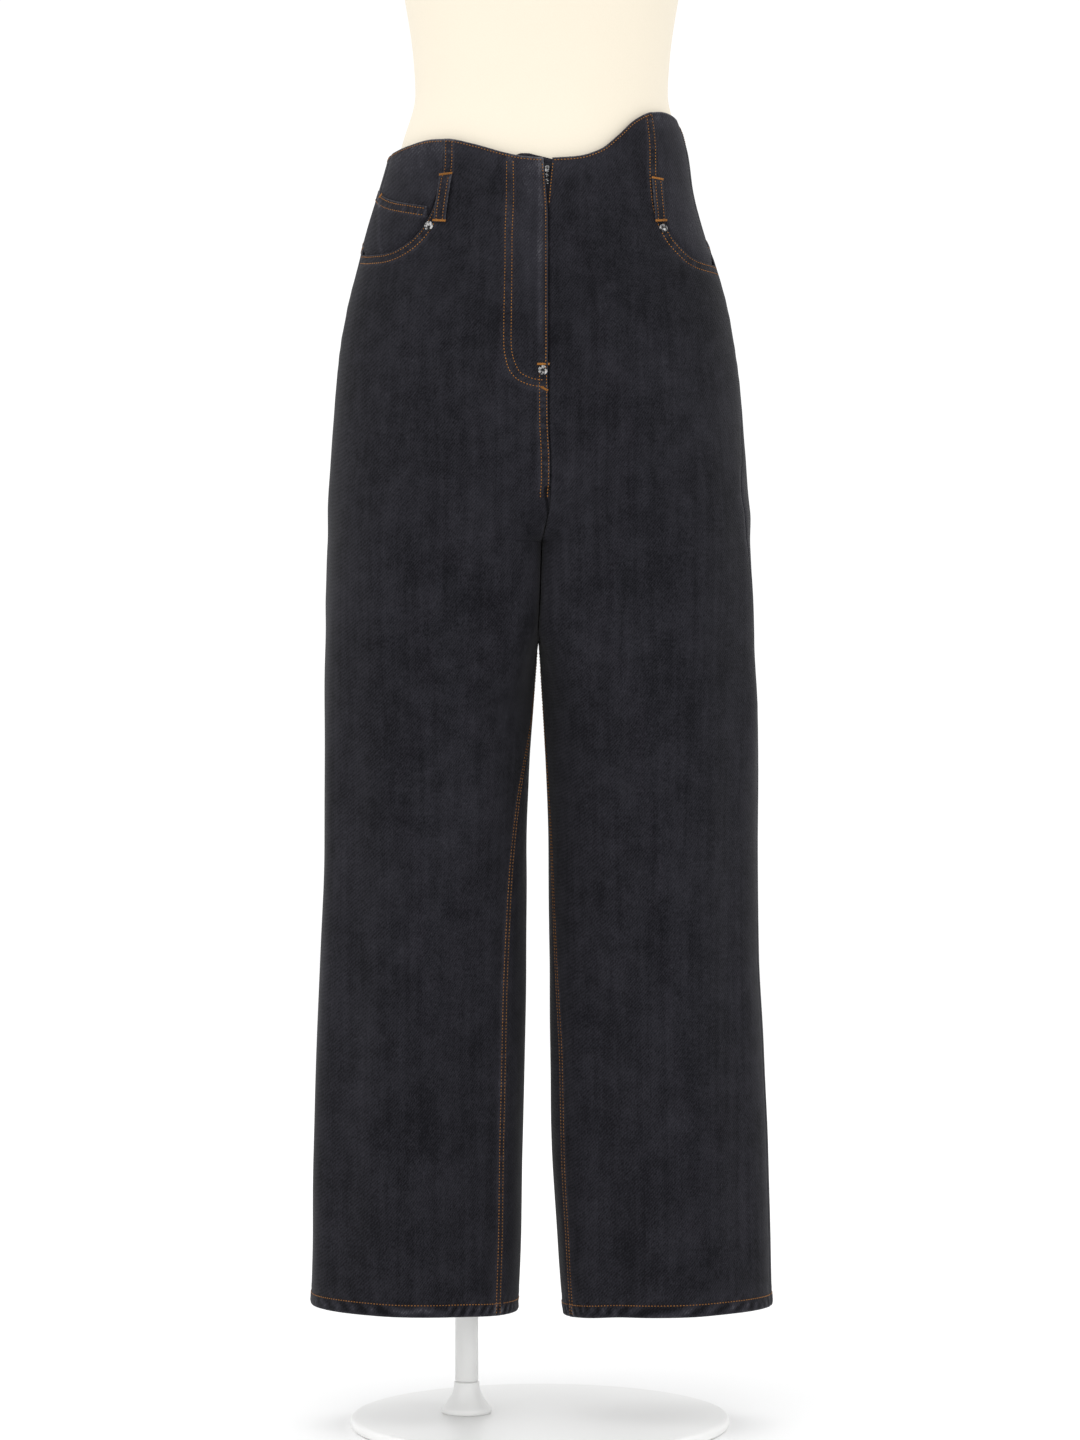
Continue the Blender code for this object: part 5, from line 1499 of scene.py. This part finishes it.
def middle_strip(spread, heights, in_front):
    """A strip behind the middle seam, tucked in where the two halves meet at an angle."""
    turn = 1 if in_front else -1
    points, normals = [], []
    for distance in spread * turn:
        sides = [side for side in SIDES if side * distance >= 0]
        angles = [shifted_angle(side, middle_angle(heights, in_front), heights, turn * abs(distance))
                  for side in sides]
        points.append(np.mean([garment(side, angle, heights) for side, angle in zip(sides, angles)], 0))
        both = [surface_normal(garment, side, angle, heights) for side, angle in zip(sides, angles)]
        normal = np.sum(both, 0)
        normals.append(normal / np.linalg.norm(normal, axis=-1, keepdims=True))
        if len(sides) == 2:
            facing = np.clip(1 - np.sum(both[0] * both[1], -1), 0, 1)
    panel = Panel(WEARERS_LEFT, np.stack(points, 1), np.stack(normals, 1))
    panel.lift[:, len(spread) // 2] -= MIDDLE_STRIP_TUCK * facing
    return panel


def strip(name, panel):
    panel.base = STRIP_SEAT
    shell(name, panel, STRIP_THICKNESS, stands_for=False)


def belt_loop(node, panel):
    """A strip with turned edges and two rows, whose middle bows out, sewn down at its ends."""
    share = panel.low / panel.low[-1:]
    panel.lift += LOOP_SEAT + LOOP_BOW * smoothstep(np.minimum(share, 1 - share) / LOOP_END_SHARE)
    panel.base = LOOP_THICKNESS
    away = np.minimum(panel.rough["start"], panel.rough["end"])
    panel.lift += ridges(away, *LOOP_RIM)
    panel.wear_and_painted_light += ridges(away, LOOP_EDGE_WEAR) + POCKET_WEAR
    sewing = Stitching()
    for edge in ("start", "end"):
        sewing.rows(panel, edge, (LOOP_ROW,))
    for row, tilt in LOOP_TACKS:
        ends = panel.surface(panel.base)[row]
        middle = len(ends) // 2
        across = ends[-1] - ends[0] + np.array((0, 0, tilt * LOOP_WIDTH))
        sewing.tack(ends[middle], across, panel.normals[row, middle], LOOP_WIDTH + 0.0016)
    sewing.make(node)
    shell(node, panel, LOOP_THICKNESS, rounded=("low", "high", "start", "end"))


def belt_loops():
    offsets = np.linspace(-LOOP_WIDTH / 2, LOOP_WIDTH / 2, 15)
    shares = graded(LOOP_LENGTH, LOOP_STEP, LOOP_STEP, 0.0018)
    for node, side, top_angle, top_z, low_angle, low_z in BELT_LOOPS:
        angles = towards((low_angle, top_angle), shares)[:, None] + 0 * offsets
        heights = towards((low_z, top_z), shares)[:, None] + 0 * offsets
        belt_loop(node, panel_at(side, shifted_angle(side, angles, heights, offsets), heights))
    heights = MIDDLE_LOOP_TOP_Z - LOOP_LENGTH * (1 - shares)
    panel = across_middle(-offsets, [heights] * len(offsets), in_front=False)
    belt_loop("belt_loop_back_middle", panel)


def across_middle(offsets, heights, in_front):
    """A panel that crosses the middle line, from distances along it, the wearer's left being plus, and
    a column of heights for each."""
    points, normals = [], []
    for offset, rows in zip(offsets, heights):
        side = WEARERS_RIGHT if offset < 0 else WEARERS_LEFT
        if in_front:
            angles = angle_at(side, np.full(len(rows), abs(offset)), rows)
        else:
            angles = shifted_angle(side, np.full(len(rows), 270.0), rows, -abs(offset))
        points.append(garment(side, angles, rows))
        normals.append(surface_normal(garment, side, angles, rows))
    return Panel(WEARERS_LEFT, np.stack(points, 1), np.stack(normals, 1))


def fly_parts():
    """The shield and the zip behind the fly: tape, teeth, slider and pull."""
    offsets = np.linspace(SHIELD_TOP[0][0], SHIELD_TOP[-1][0], 24)
    share = np.linspace(0, 1, 70)
    tops = smooth_curve(SHIELD_TOP)(offsets)
    shield = across_middle(offsets, [towards((SHIELD_LOW_Z, top), share) for top in tops], True)
    shield.base = SHIELD_SEAT
    shield.wear_and_painted_light += 0.25 * ridge(shield.rough["high"], 0.0, 0.0016)
    shell("fly_shield", shield, SHIELD_THICKNESS, rounded=("high", "start", "end"))
    offsets = np.linspace(*TAPE_EXTENT, 14)
    tape = across_middle(offsets, [towards((TAPE_LOW_Z, TAPE_TOP_Z), share)] * len(offsets), True)
    tape.base = TAPE_SEAT
    shell("zip_tape", tape, TAPE_THICKNESS, rounded=("high",))
    place = surface_frame(WEARERS_LEFT, angle_at(WEARERS_LEFT, ZIP_X, SLIDER_Z), SLIDER_Z,
                          TAPE_SEAT + SEAM_GAP + SLIDER_SIZE[1] / 2)
    zip_teeth()
    slider(place)
    pull(place)


def surface_frame(side, angle, z, lift):
    """A matrix on the garment surface: Z out of the cloth, Y up along it."""
    angle, z = np.array(float(angle)), np.array(float(z))
    out = Vector(surface_normal(garment, side, angle, z))
    place = Vector(garment(side, angle, z)) + out * lift
    up = (Vector((0, 0, 1)) - out * out.z).normalized()
    across = up.cross(out)
    return Matrix.Translation(place) @ Matrix((across, up, out)).transposed().to_4x4()


def closed_faces(count, rings, base=0):
    """Faces of a solid through rings of as many points, the first of which starts at base."""
    last = base + count * (rings - 1)
    faces = [tuple(reversed(range(base, base + count))), tuple(range(last, last + count))]
    for low in range(base, last, count):
        for i in range(count):
            j = (i + 1) % count
            faces.append((low + i, low + j, low + count + j, low + count + i))
    return faces


def loft(name, outlines, place):
    """A closed solid through outlines of as many points."""
    vertices = [place @ Vector(point) for outline in outlines for point in outline]
    return mesh_object(name, vertices, closed_faces(len(outlines[0]), len(outlines)))


def finish_metal(piece):
    piece.data.materials.append(MATERIALS["metal"])
    piece.data.set_sharp_from_angle(angle=math.radians(38))


def tooth_outlines():
    """A box with bevelled edges, as four level outlines."""
    x, y, z = (size / 2 for size in TOOTH_SIZE)
    cut = min(TOOTH_SIZE[:2]) * TOOTH_BEVEL
    corners = ((x - cut, -y), (x, -y + cut), (x, y - cut), (x - cut, y),
               (-x + cut, y), (-x, y - cut), (-x, -y + cut), (-x + cut, -y))
    levels = ((TOOTH_INSET, -z), (1.0, -z + cut), (1.0, z - cut), (TOOTH_INSET, z))
    return [[(px * inset, py * inset, height) for px, py in corners] for inset, height in levels]


def zip_teeth():
    """The teeth that show in the gap of the fly, closed below the slider."""
    vertices, faces = [], []
    outlines = tooth_outlines()
    for k, z in enumerate(np.arange(*TEETH_Z)):
        offset = -TOOTH_OFFSET if k % 2 else TOOTH_OFFSET
        place = surface_frame(WEARERS_LEFT, angle_at(WEARERS_LEFT, ZIP_X, z), z, TOOTH_SEAT)
        place = place @ Matrix.Translation((offset, 0, 0))
        faces += closed_faces(len(outlines[0]), len(outlines), len(vertices))
        vertices += [place @ Vector(point) for outline in outlines for point in outline]
    piece = mesh_object("zip_teeth", vertices, faces)
    finish_metal(piece)
    settle(piece, "silver_metal")


def rounded_square(count, power):
    """Points round a square with rounded corners, from -1 to 1 both ways."""
    points = []
    for k in range(count):
        turn = 2 * math.pi * k / count
        points.append(tuple(math.copysign(abs(v) ** power, v) for v in (math.cos(turn), math.sin(turn))))
    return points


def slider(place):
    """The slider: a wedge that narrows downwards, with a bridge along its front."""
    width, depth, height = SLIDER_SIZE
    outlines = []
    for inset, level in SLIDER_LEVELS:
        outline = []
        for across, up in rounded_square(28, 0.55):
            x, y = across * width / 2, up * height / 2
            narrow = 0.80 + 0.20 * smoothstep((y / height + 0.5) * 1.6)
            if level > BRIDGE_LEVEL:
                x *= BRIDGE_SHARE
            outline.append((x * inset * narrow, y * inset, level * depth))
        outlines.append(outline)
    piece = loft("zip_slider_body", outlines, place)
    finish_metal(piece)
    settle(piece, "silver_metal", "zip_slider")


def pull(place):
    """The pull: a flat bar with a rounded upper end, a thin shaft and a thick lower end."""
    half, thick = PULL_WIDTH / 2, PULL_THICKNESS / 2
    pivot = place @ Vector((0, PULL_PIVOT_Z, SLIDER_SIZE[1] / 2 + SEAM_GAP + thick))
    stations = [(thick * math.sin(t), thick * math.cos(t), 0.94) for t in np.linspace(math.pi / 2, 0, 6)]
    stations[0] = (thick * 0.98, thick * 0.22, 0.90)
    stations += [(y, thick * share, wide) for y, share, wide in PULL_SHAFT]
    stations += [(-PULL_LENGTH + y, thick * share, wide) for y, share, wide in PULL_END]
    outlines = [[(x * half * wide, y, z * thickness) for x, z in rounded_square(20, 0.5)]
                for y, thickness, wide in stations]
    piece = loft("zip_pull_bar", outlines, Matrix.Translation(pivot) @ place.to_3x3().to_4x4())
    finish_metal(piece)
    settle(piece, "silver_metal", "zip_pull", body=PULL_BODY)


def turned(name, profile, place, segments, swell=None):
    """A solid of revolution about the placed Z axis, from (radius, height) points, lowest first."""
    turns = [2 * math.pi * k / segments for k in range(segments)]
    outlines = [[(radius * math.cos(turn), radius * math.sin(turn),
                  height + (swell(radius, turn) if swell else 0.0)) for turn in turns]
                for radius, height in profile]
    return loft(name, outlines, place)


def rivets():
    """Domed caps with a rim and a ring of small bosses."""
    r, h = RIVET_RADIUS, RIVET_HEIGHT

    def bosses(radius, turn):
        return h * 0.14 * float(ridge(radius, r * 0.56, r * 0.13)) * max(0.0, math.cos(8 * turn))

    profile = [(r * across, h * up) for across, up in RIVET_PROFILE]
    for node, side, angle, z in RIVETS:
        piece = turned(f"{node}_cap", profile, surface_frame(side, angle, z, SEAM_GAP), 64, bosses)
        piece.data.materials.append(MATERIALS["metal"])
        settle(piece, "silver_metal", node)


def dress_form():
    """The limbless torso, its neck cap and its stand."""
    curves = [smooth_curve([(row[0], row[k]) for row in FORM_RINGS]) for k in (1, 2, 3)]
    low, high = FORM_RINGS[0][0], FORM_RINGS[-1][0]
    levels = np.concatenate([np.linspace(*part)[:-1] for part in FORM_LEVELS])
    levels = np.append(levels, high)
    turns = np.linspace(0, 2 * math.pi, 145)[:-1]
    half_width, front, back = (curve(levels)[:, None] - FORM_SHRINK * sign
                               for curve, sign in zip(curves, (1, -1, 1)))
    c, s = np.cos(turns), np.sin(turns)
    x = FORM_X + half_width * np.sign(c) * np.abs(c) ** (2 / FORM_POWER)
    y = (front + back) / 2 + (back - front) / 2 * np.sign(s) * np.abs(s) ** (2 / FORM_POWER)
    points = np.stack([x, y, levels[:, None] + 0 * x], -1)
    points[0, :, 2] += FORM_SHRINK
    points[-1, :, 2] -= FORM_SHRINK
    rows, columns = x.shape
    piece = mesh_object("form_body", points.reshape(-1, 3), closed_faces(columns, rows))
    piece.data.materials.append(MATERIALS["form"])
    settle(piece, "form_cover", "form_torso")
    top_z, neck, front, back = FORM_RINGS[-1]
    place = Matrix.Translation((FORM_X, (front + back) / 2, top_z + SEAM_GAP))
    place = place @ Matrix.Diagonal((neck, (back - front) / 2, 1, 1))
    profile = [(across, NECK_CAP_HEIGHT * up) for across, up in NECK_CAP_PROFILE]
    stand_piece("form_neck_cap", profile, place, 96)
    stand(low)


def stand_piece(node, profile, place, segments):
    piece = turned(f"{node}_painted", profile, place, segments)
    piece.data.materials.append(MATERIALS["stand"])
    piece.data.set_sharp_from_angle(angle=math.radians(50))
    settle(piece, "stand_paint", node)


def stand(form_bottom):
    """Flange, pole, collar and round base."""
    h, r = FLANGE_HEIGHT, FLANGE_RADIUS
    top = form_bottom - SEAM_GAP
    profile = [(POLE_RADIUS * 1.3, 0.0), (POLE_RADIUS * 1.5, h * 0.10)]
    profile += [(r * across, h * up) for across, up in FLANGE_RIM]
    stand_piece("stand_flange", profile, Matrix.Translation((POLE_X, POLE_Y, top - h)), 64)
    place = Matrix.Translation((POLE_X, POLE_Y, 0))
    low, high = BASE_HEIGHT + COLLAR_HEIGHT + 2 * SEAM_GAP, top - h - SEAM_GAP
    p = POLE_RADIUS
    profile = ((p * 0.95, low), (p, low + 0.0006), (p, high - 0.0006), (p * 0.95, high))
    stand_piece("stand_pole", profile, place, 48)
    low = BASE_HEIGHT + SEAM_GAP
    high = low + COLLAR_HEIGHT
    c = COLLAR_RADIUS
    profile = [(c * 0.97, low), (c, low + 0.0010), (c, low + 0.0040)]
    profile += [(p + 0.001 + (c - p - 0.001) * (1 - s) ** 2, low + 0.004 + (COLLAR_HEIGHT - 0.005) * s)
                for s in np.linspace(0.08, 1, 10)]
    profile.append((p - 0.0006, high))
    stand_piece("stand_collar", profile, place, 48)
    b, r = BASE_HEIGHT, BASE_RADIUS
    profile = ((r - 0.0034, 0.0), (r - 0.0020, 0.0004), (r - 0.0006, 0.0014), (r, 0.0030), (r, b - 0.0034),
               (r - 0.0005, b - 0.0018), (r - 0.0016, b - 0.0006), (r - 0.0036, b), (r * 0.97, b))
    stand_piece("stand_base", profile, Matrix.Identity(4), 128)


class Shader:
    """A Principled material under construction."""

    def __init__(self, name, roughness, metallic=0.0):
        self.material = bpy.data.materials.new(name)
        self.material.use_nodes = True
        self.tree = self.material.node_tree
        self.surface = self.tree.nodes["Principled BSDF"]
        self.give({"Roughness": roughness, "Metallic": metallic})
        self.space = self.node("ShaderNodeTexCoord", {}).outputs["Object"]

    def feed(self, socket, value):
        if isinstance(value, bpy.types.NodeSocket):
            self.tree.links.new(value, socket)
        else:
            socket.default_value = value

    def give(self, inputs):
        for name, value in inputs.items():
            self.feed(self.surface.inputs[name], value)

    def node(self, kind, inputs, **settings):
        node = self.tree.nodes.new(kind)
        for key, value in settings.items():
            setattr(node, key, value)
        for key, value in inputs.items():
            self.feed(node.inputs[key], value)
        return node

    def math(self, operation, a, b=0.0):
        return self.node("ShaderNodeMath", {0: a, 1: b}, operation=operation).outputs[0]

    def noise(self, vector, scale, detail=2.0, roughness=0.55):
        """Noise about zero, from about -0.5 to 0.5. The scale may differ along the three axes."""
        if isinstance(scale, tuple):
            vector = self.node("ShaderNodeVectorMath", {0: vector, 1: scale}, operation="MULTIPLY").outputs[0]
            scale = 1.0
        inputs = {"Vector": vector, "Scale": scale, "Detail": detail, "Roughness": roughness}
        return self.math("SUBTRACT", self.node("ShaderNodeTexNoise", inputs).outputs[0], 0.5)

    def total(self, value, *terms):
        for socket, weight in terms:
            inputs = {0: socket, 1: weight, 2: value}
            value = self.node("ShaderNodeMath", inputs, operation="MULTIPLY_ADD").outputs[0]
        return value

    def coloured(self, factor, *stops):
        """Base colour from a factor: colours for 0 and 1, then pairs of a place and a colour."""
        node = self.node("ShaderNodeValToRGB", {"Fac": factor})
        elements = node.color_ramp.elements
        for k, (place, colour) in enumerate(((0.0, stops[0]), (1.0, stops[1]), *stops[2:])):
            element = elements[k] if k < 2 else elements.new(place)
            element.position = place
            element.color = (*colour, 1.0)
        self.give({"Base Color": node.outputs["Color"]})

    def bump(self, height, distance, strength):
        inputs = {"Height": height, "Distance": distance, "Strength": strength}
        self.give({"Normal": self.node("ShaderNodeBump", inputs).outputs[0]})


def weave_shader(name, colours, level):
    """Twill: fine slanting ribs, uneven yarns, soft mottling, paler worn places, and painted light and shade.
    """
    dark, middle, light = colours
    s = Shader(name, 0.92)
    cut = s.node("ShaderNodeUVMap", {}, uv_map="weave").outputs["UV"]
    # The cloth's attribute carries its wear, and painted light and painted shade where the thighs touch, in
    # the crotch hollow and under the lap.
    wear_and_painted_light = s.node("ShaderNodeAttribute", {}, attribute_name="wear_and_painted_light").outputs["Fac"]
    bent = s.noise(cut, 160.0)
    slant = s.node("ShaderNodeVectorMath", {0: s.space, 1: TWILL}, operation="DOT_PRODUCT").outputs[1]
    ribs = s.math("SINE", s.total(slant, (bent, 5.0)))
    yarns = s.noise(cut, (1500.0, 210.0, 1.0))
    grain = s.noise(s.space, 900.0, 2.0, 0.7)
    fleck = s.noise(cut, (620.0, 330.0, 1.0), 2.0, 0.6)
    streaks = s.noise(s.space, (150.0, 150.0, 5.0), 3.0)
    patches = s.noise(s.space, 60.0, 3.0, 0.6)
    mottle = s.noise(s.space, 16.0, 4.0, 0.6)
    clouds = s.noise(s.space, 4.0, 3.0)
    factor = s.total(level, (wear_and_painted_light, 0.62), (ribs, 0.050), (yarns, 0.30), (grain, 0.45), (fleck, 0.42),
                     (streaks, 0.24), (patches, 0.30), (mottle, 0.30), (clouds, 0.10))
    s.coloured(factor, dark, light, (0.42, middle))
    s.give({"Roughness": s.total(0.90, (grain, 0.10)), "Sheen Weight": 0.05, "Sheen Roughness": 0.45,
            "Specular IOR Level": 0.15})
    s.bump(s.total(0.0, (ribs, 0.32), (yarns, 0.8), (grain, 1.0)), 0.00022, 0.75)
    return s.material


def thread_shader():
    s = Shader("thread", 0.62)
    slow = s.noise(s.space, 40.0, 3.0)
    fine = s.noise(s.space, 1800.0, 1.0)
    s.coloured(s.total(0.5, (slow, 1.3), (fine, 0.6)), THREAD_DARK, THREAD_LIGHT)
    s.give({"Specular IOR Level": 0.20})
    s.bump(fine, 0.0002, 0.5)
    return s.material


def metal_shader():
    s = Shader("silver", 0.28, 1.0)
    cloud = s.noise(s.space, 330.0, 3.0, 0.5)
    scratch = s.noise(s.space, (2200.0, 2200.0, 300.0))
    # High-contrast specks from near black to pale silver: painted reflections, over the metal's own dark grey
    # tone.
    s.coloured(s.total(0.20, (cloud, 3.2)), METAL_DARK_PAINTED_REFLECTION, METAL_LIGHT)
    s.give({"Roughness": s.total(0.30, (cloud, 0.18), (scratch, 0.16))})
    s.bump(s.total(0.0, (scratch, 0.5), (cloud, 0.8)), 0.00006, 0.4)
    return s.material


def form_shader():
    """Fine cream jersey drawn smoothly over padding."""
    s = Shader("form_jersey", 0.78)
    knit = s.noise(s.space, (1100.0, 1100.0, 700.0), 1.0)
    cloud = s.noise(s.space, 5.0)
    s.coloured(s.total(0.5, (knit, 0.5), (cloud, 0.6)), FORM_DARK, FORM_LIGHT)
    s.give({"Sheen Weight": 0.08})
    s.bump(knit, 0.00012, 0.35)
    return s.material


def stand_shader():
    s = Shader("stand_white", 0.38)
    peel = s.noise(s.space, 520.0)
    cloud = s.noise(s.space, 14.0, 3.0)
    s.coloured(s.total(0.5, (cloud, 0.8)), STAND_DARK, STAND_LIGHT)
    s.give({"Roughness": s.total(0.38, (cloud, 0.12))})
    s.bump(peel, 0.00010, 0.30)
    return s.material


def stage_shader():
    s = Shader("stage_white", 0.9)
    s.coloured(s.total(0.5, (s.noise(s.space, 0.8), 0.5)), STAGE_DARK, STAGE_LIGHT)
    return s.material


# Colours, as linear red, green and blue. The denim's are dark, middle and light
DENIM = ((0.0022, 0.0022, 0.0040), (0.0235, 0.0228, 0.0295), (0.150, 0.148, 0.162))
REVERSE = ((0.060, 0.060, 0.068), (0.130, 0.130, 0.140), (0.260, 0.260, 0.270))
THREAD_DARK = (0.125, 0.046, 0.008)
THREAD_LIGHT = (0.440, 0.185, 0.035)
# The metal's near-black end stands partly for its own dark tone and partly for painted dark reflections.
METAL_DARK_PAINTED_REFLECTION = (0.015, 0.015, 0.016)
METAL_LIGHT = (0.72, 0.71, 0.70)
FORM_DARK = (0.76, 0.69, 0.56)
FORM_LIGHT = (0.84, 0.77, 0.64)
STAND_DARK = (0.82, 0.82, 0.81)
STAND_LIGHT = (0.88, 0.88, 0.87)
STAGE_DARK = (0.96, 0.96, 0.96)
STAGE_LIGHT = (0.98, 0.98, 0.98)

# How fast the twill's ribs follow one another along X, Y and Z, in radians for a metre
TWILL = (2300.0, 900.0, -1800.0)

# How light the cloth is before wear, outside and on its reverse
DENIM_LEVEL = 0.155
REVERSE_LEVEL = 0.38

# Camera, and lights: name, place, aim, size, power
CAMERA_PLACE = (0.0, -3.8, 0.6714)
CAMERA_LENS = 99.75
LIGHTS = (
    ("key", (-2.6, -3.2, 2.6), (0.0, 0.0, 0.9), 2.6, 26.0),
    ("fill", (2.8, -3.0, 1.6), (0.0, 0.0, 0.7), 2.6, 12.0),
    ("top", (0.0, -0.4, 4.2), (0.0, 0.0, 0.6), 3.0, 20.0),
    ("behind", (0.0, 3.4, 2.4), (0.0, 0.0, 0.9), 3.0, 10.0),
)
WORLD_STRENGTH = 1.06
FLOOR_RADII = (0.6, 1.5, 3.0, 6.0, 9.0)
FLOOR_Z = -0.0002
FLOOR_SEGMENTS = 48


def make_materials():
    MATERIALS["denim"] = weave_shader("denim_washed_black", DENIM, DENIM_LEVEL)
    MATERIALS["denim_reverse"] = weave_shader("denim_reverse", REVERSE, REVERSE_LEVEL)
    MATERIALS["thread"] = thread_shader()
    MATERIALS["metal"] = metal_shader()
    MATERIALS["form"] = form_shader()
    MATERIALS["stand"] = stand_shader()
    MATERIALS["stage"] = stage_shader()


def make_stage():
    """A pale, flat, round floor."""
    vertices, faces = [(0.0, 0.0, FLOOR_Z)], []
    for radius in FLOOR_RADII:
        for k in range(FLOOR_SEGMENTS):
            turn = 2 * math.pi * k / FLOOR_SEGMENTS
            vertices.append((radius * math.cos(turn), radius * math.sin(turn), FLOOR_Z))
    for k in range(FLOOR_SEGMENTS):
        j = (k + 1) % FLOOR_SEGMENTS
        faces.append((0, 1 + k, 1 + j))
        for ring in range(len(FLOOR_RADII) - 1):
            low = 1 + ring * FLOOR_SEGMENTS
            high = low + FLOOR_SEGMENTS
            faces.append((low + k, high + k, high + j, low + j))
    floor = mesh_object("studio_floor", vertices, faces)
    floor.data.materials.append(MATERIALS["stage"])


def aim(piece, target):
    direction = Vector(target) - piece.location
    piece.rotation_euler = direction.to_track_quat("-Z", "Y").to_euler()


def make_lights():
    for name, place, target, size, power in LIGHTS:
        light = bpy.data.lights.new(name, "AREA")
        light.shape = "DISK"
        light.size = size
        light.energy = power
        piece = linked(name, light)
        piece.location = place
        aim(piece, target)
    world = bpy.data.worlds.new("studio")
    world.use_nodes = True
    background = world.node_tree.nodes["Background"]
    background.inputs["Color"].default_value = (1.0, 1.0, 1.0, 1.0)
    background.inputs["Strength"].default_value = WORLD_STRENGTH
    bpy.context.scene.world = world
    bpy.context.scene.view_settings.view_transform = "Standard"


def make_camera():
    data = bpy.data.cameras.new("camera")
    data.lens = CAMERA_LENS
    data.sensor_width = 36.0
    data.sensor_fit = "AUTO"
    camera = linked("camera", data)
    camera.location = CAMERA_PLACE
    camera.rotation_euler = (math.radians(90), 0, 0)
    bpy.context.scene.camera = camera


make_camera()
make_lights()
make_materials()
make_stage()
for wearer_side in SIDES:
    front_cloth(wearer_side)
    back_cloth(wearer_side)
    yoke_cloth(wearer_side)
    hip_cloth(wearer_side)
seam_strips()
belt_loops()
fly_parts()
rivets()
dress_form()
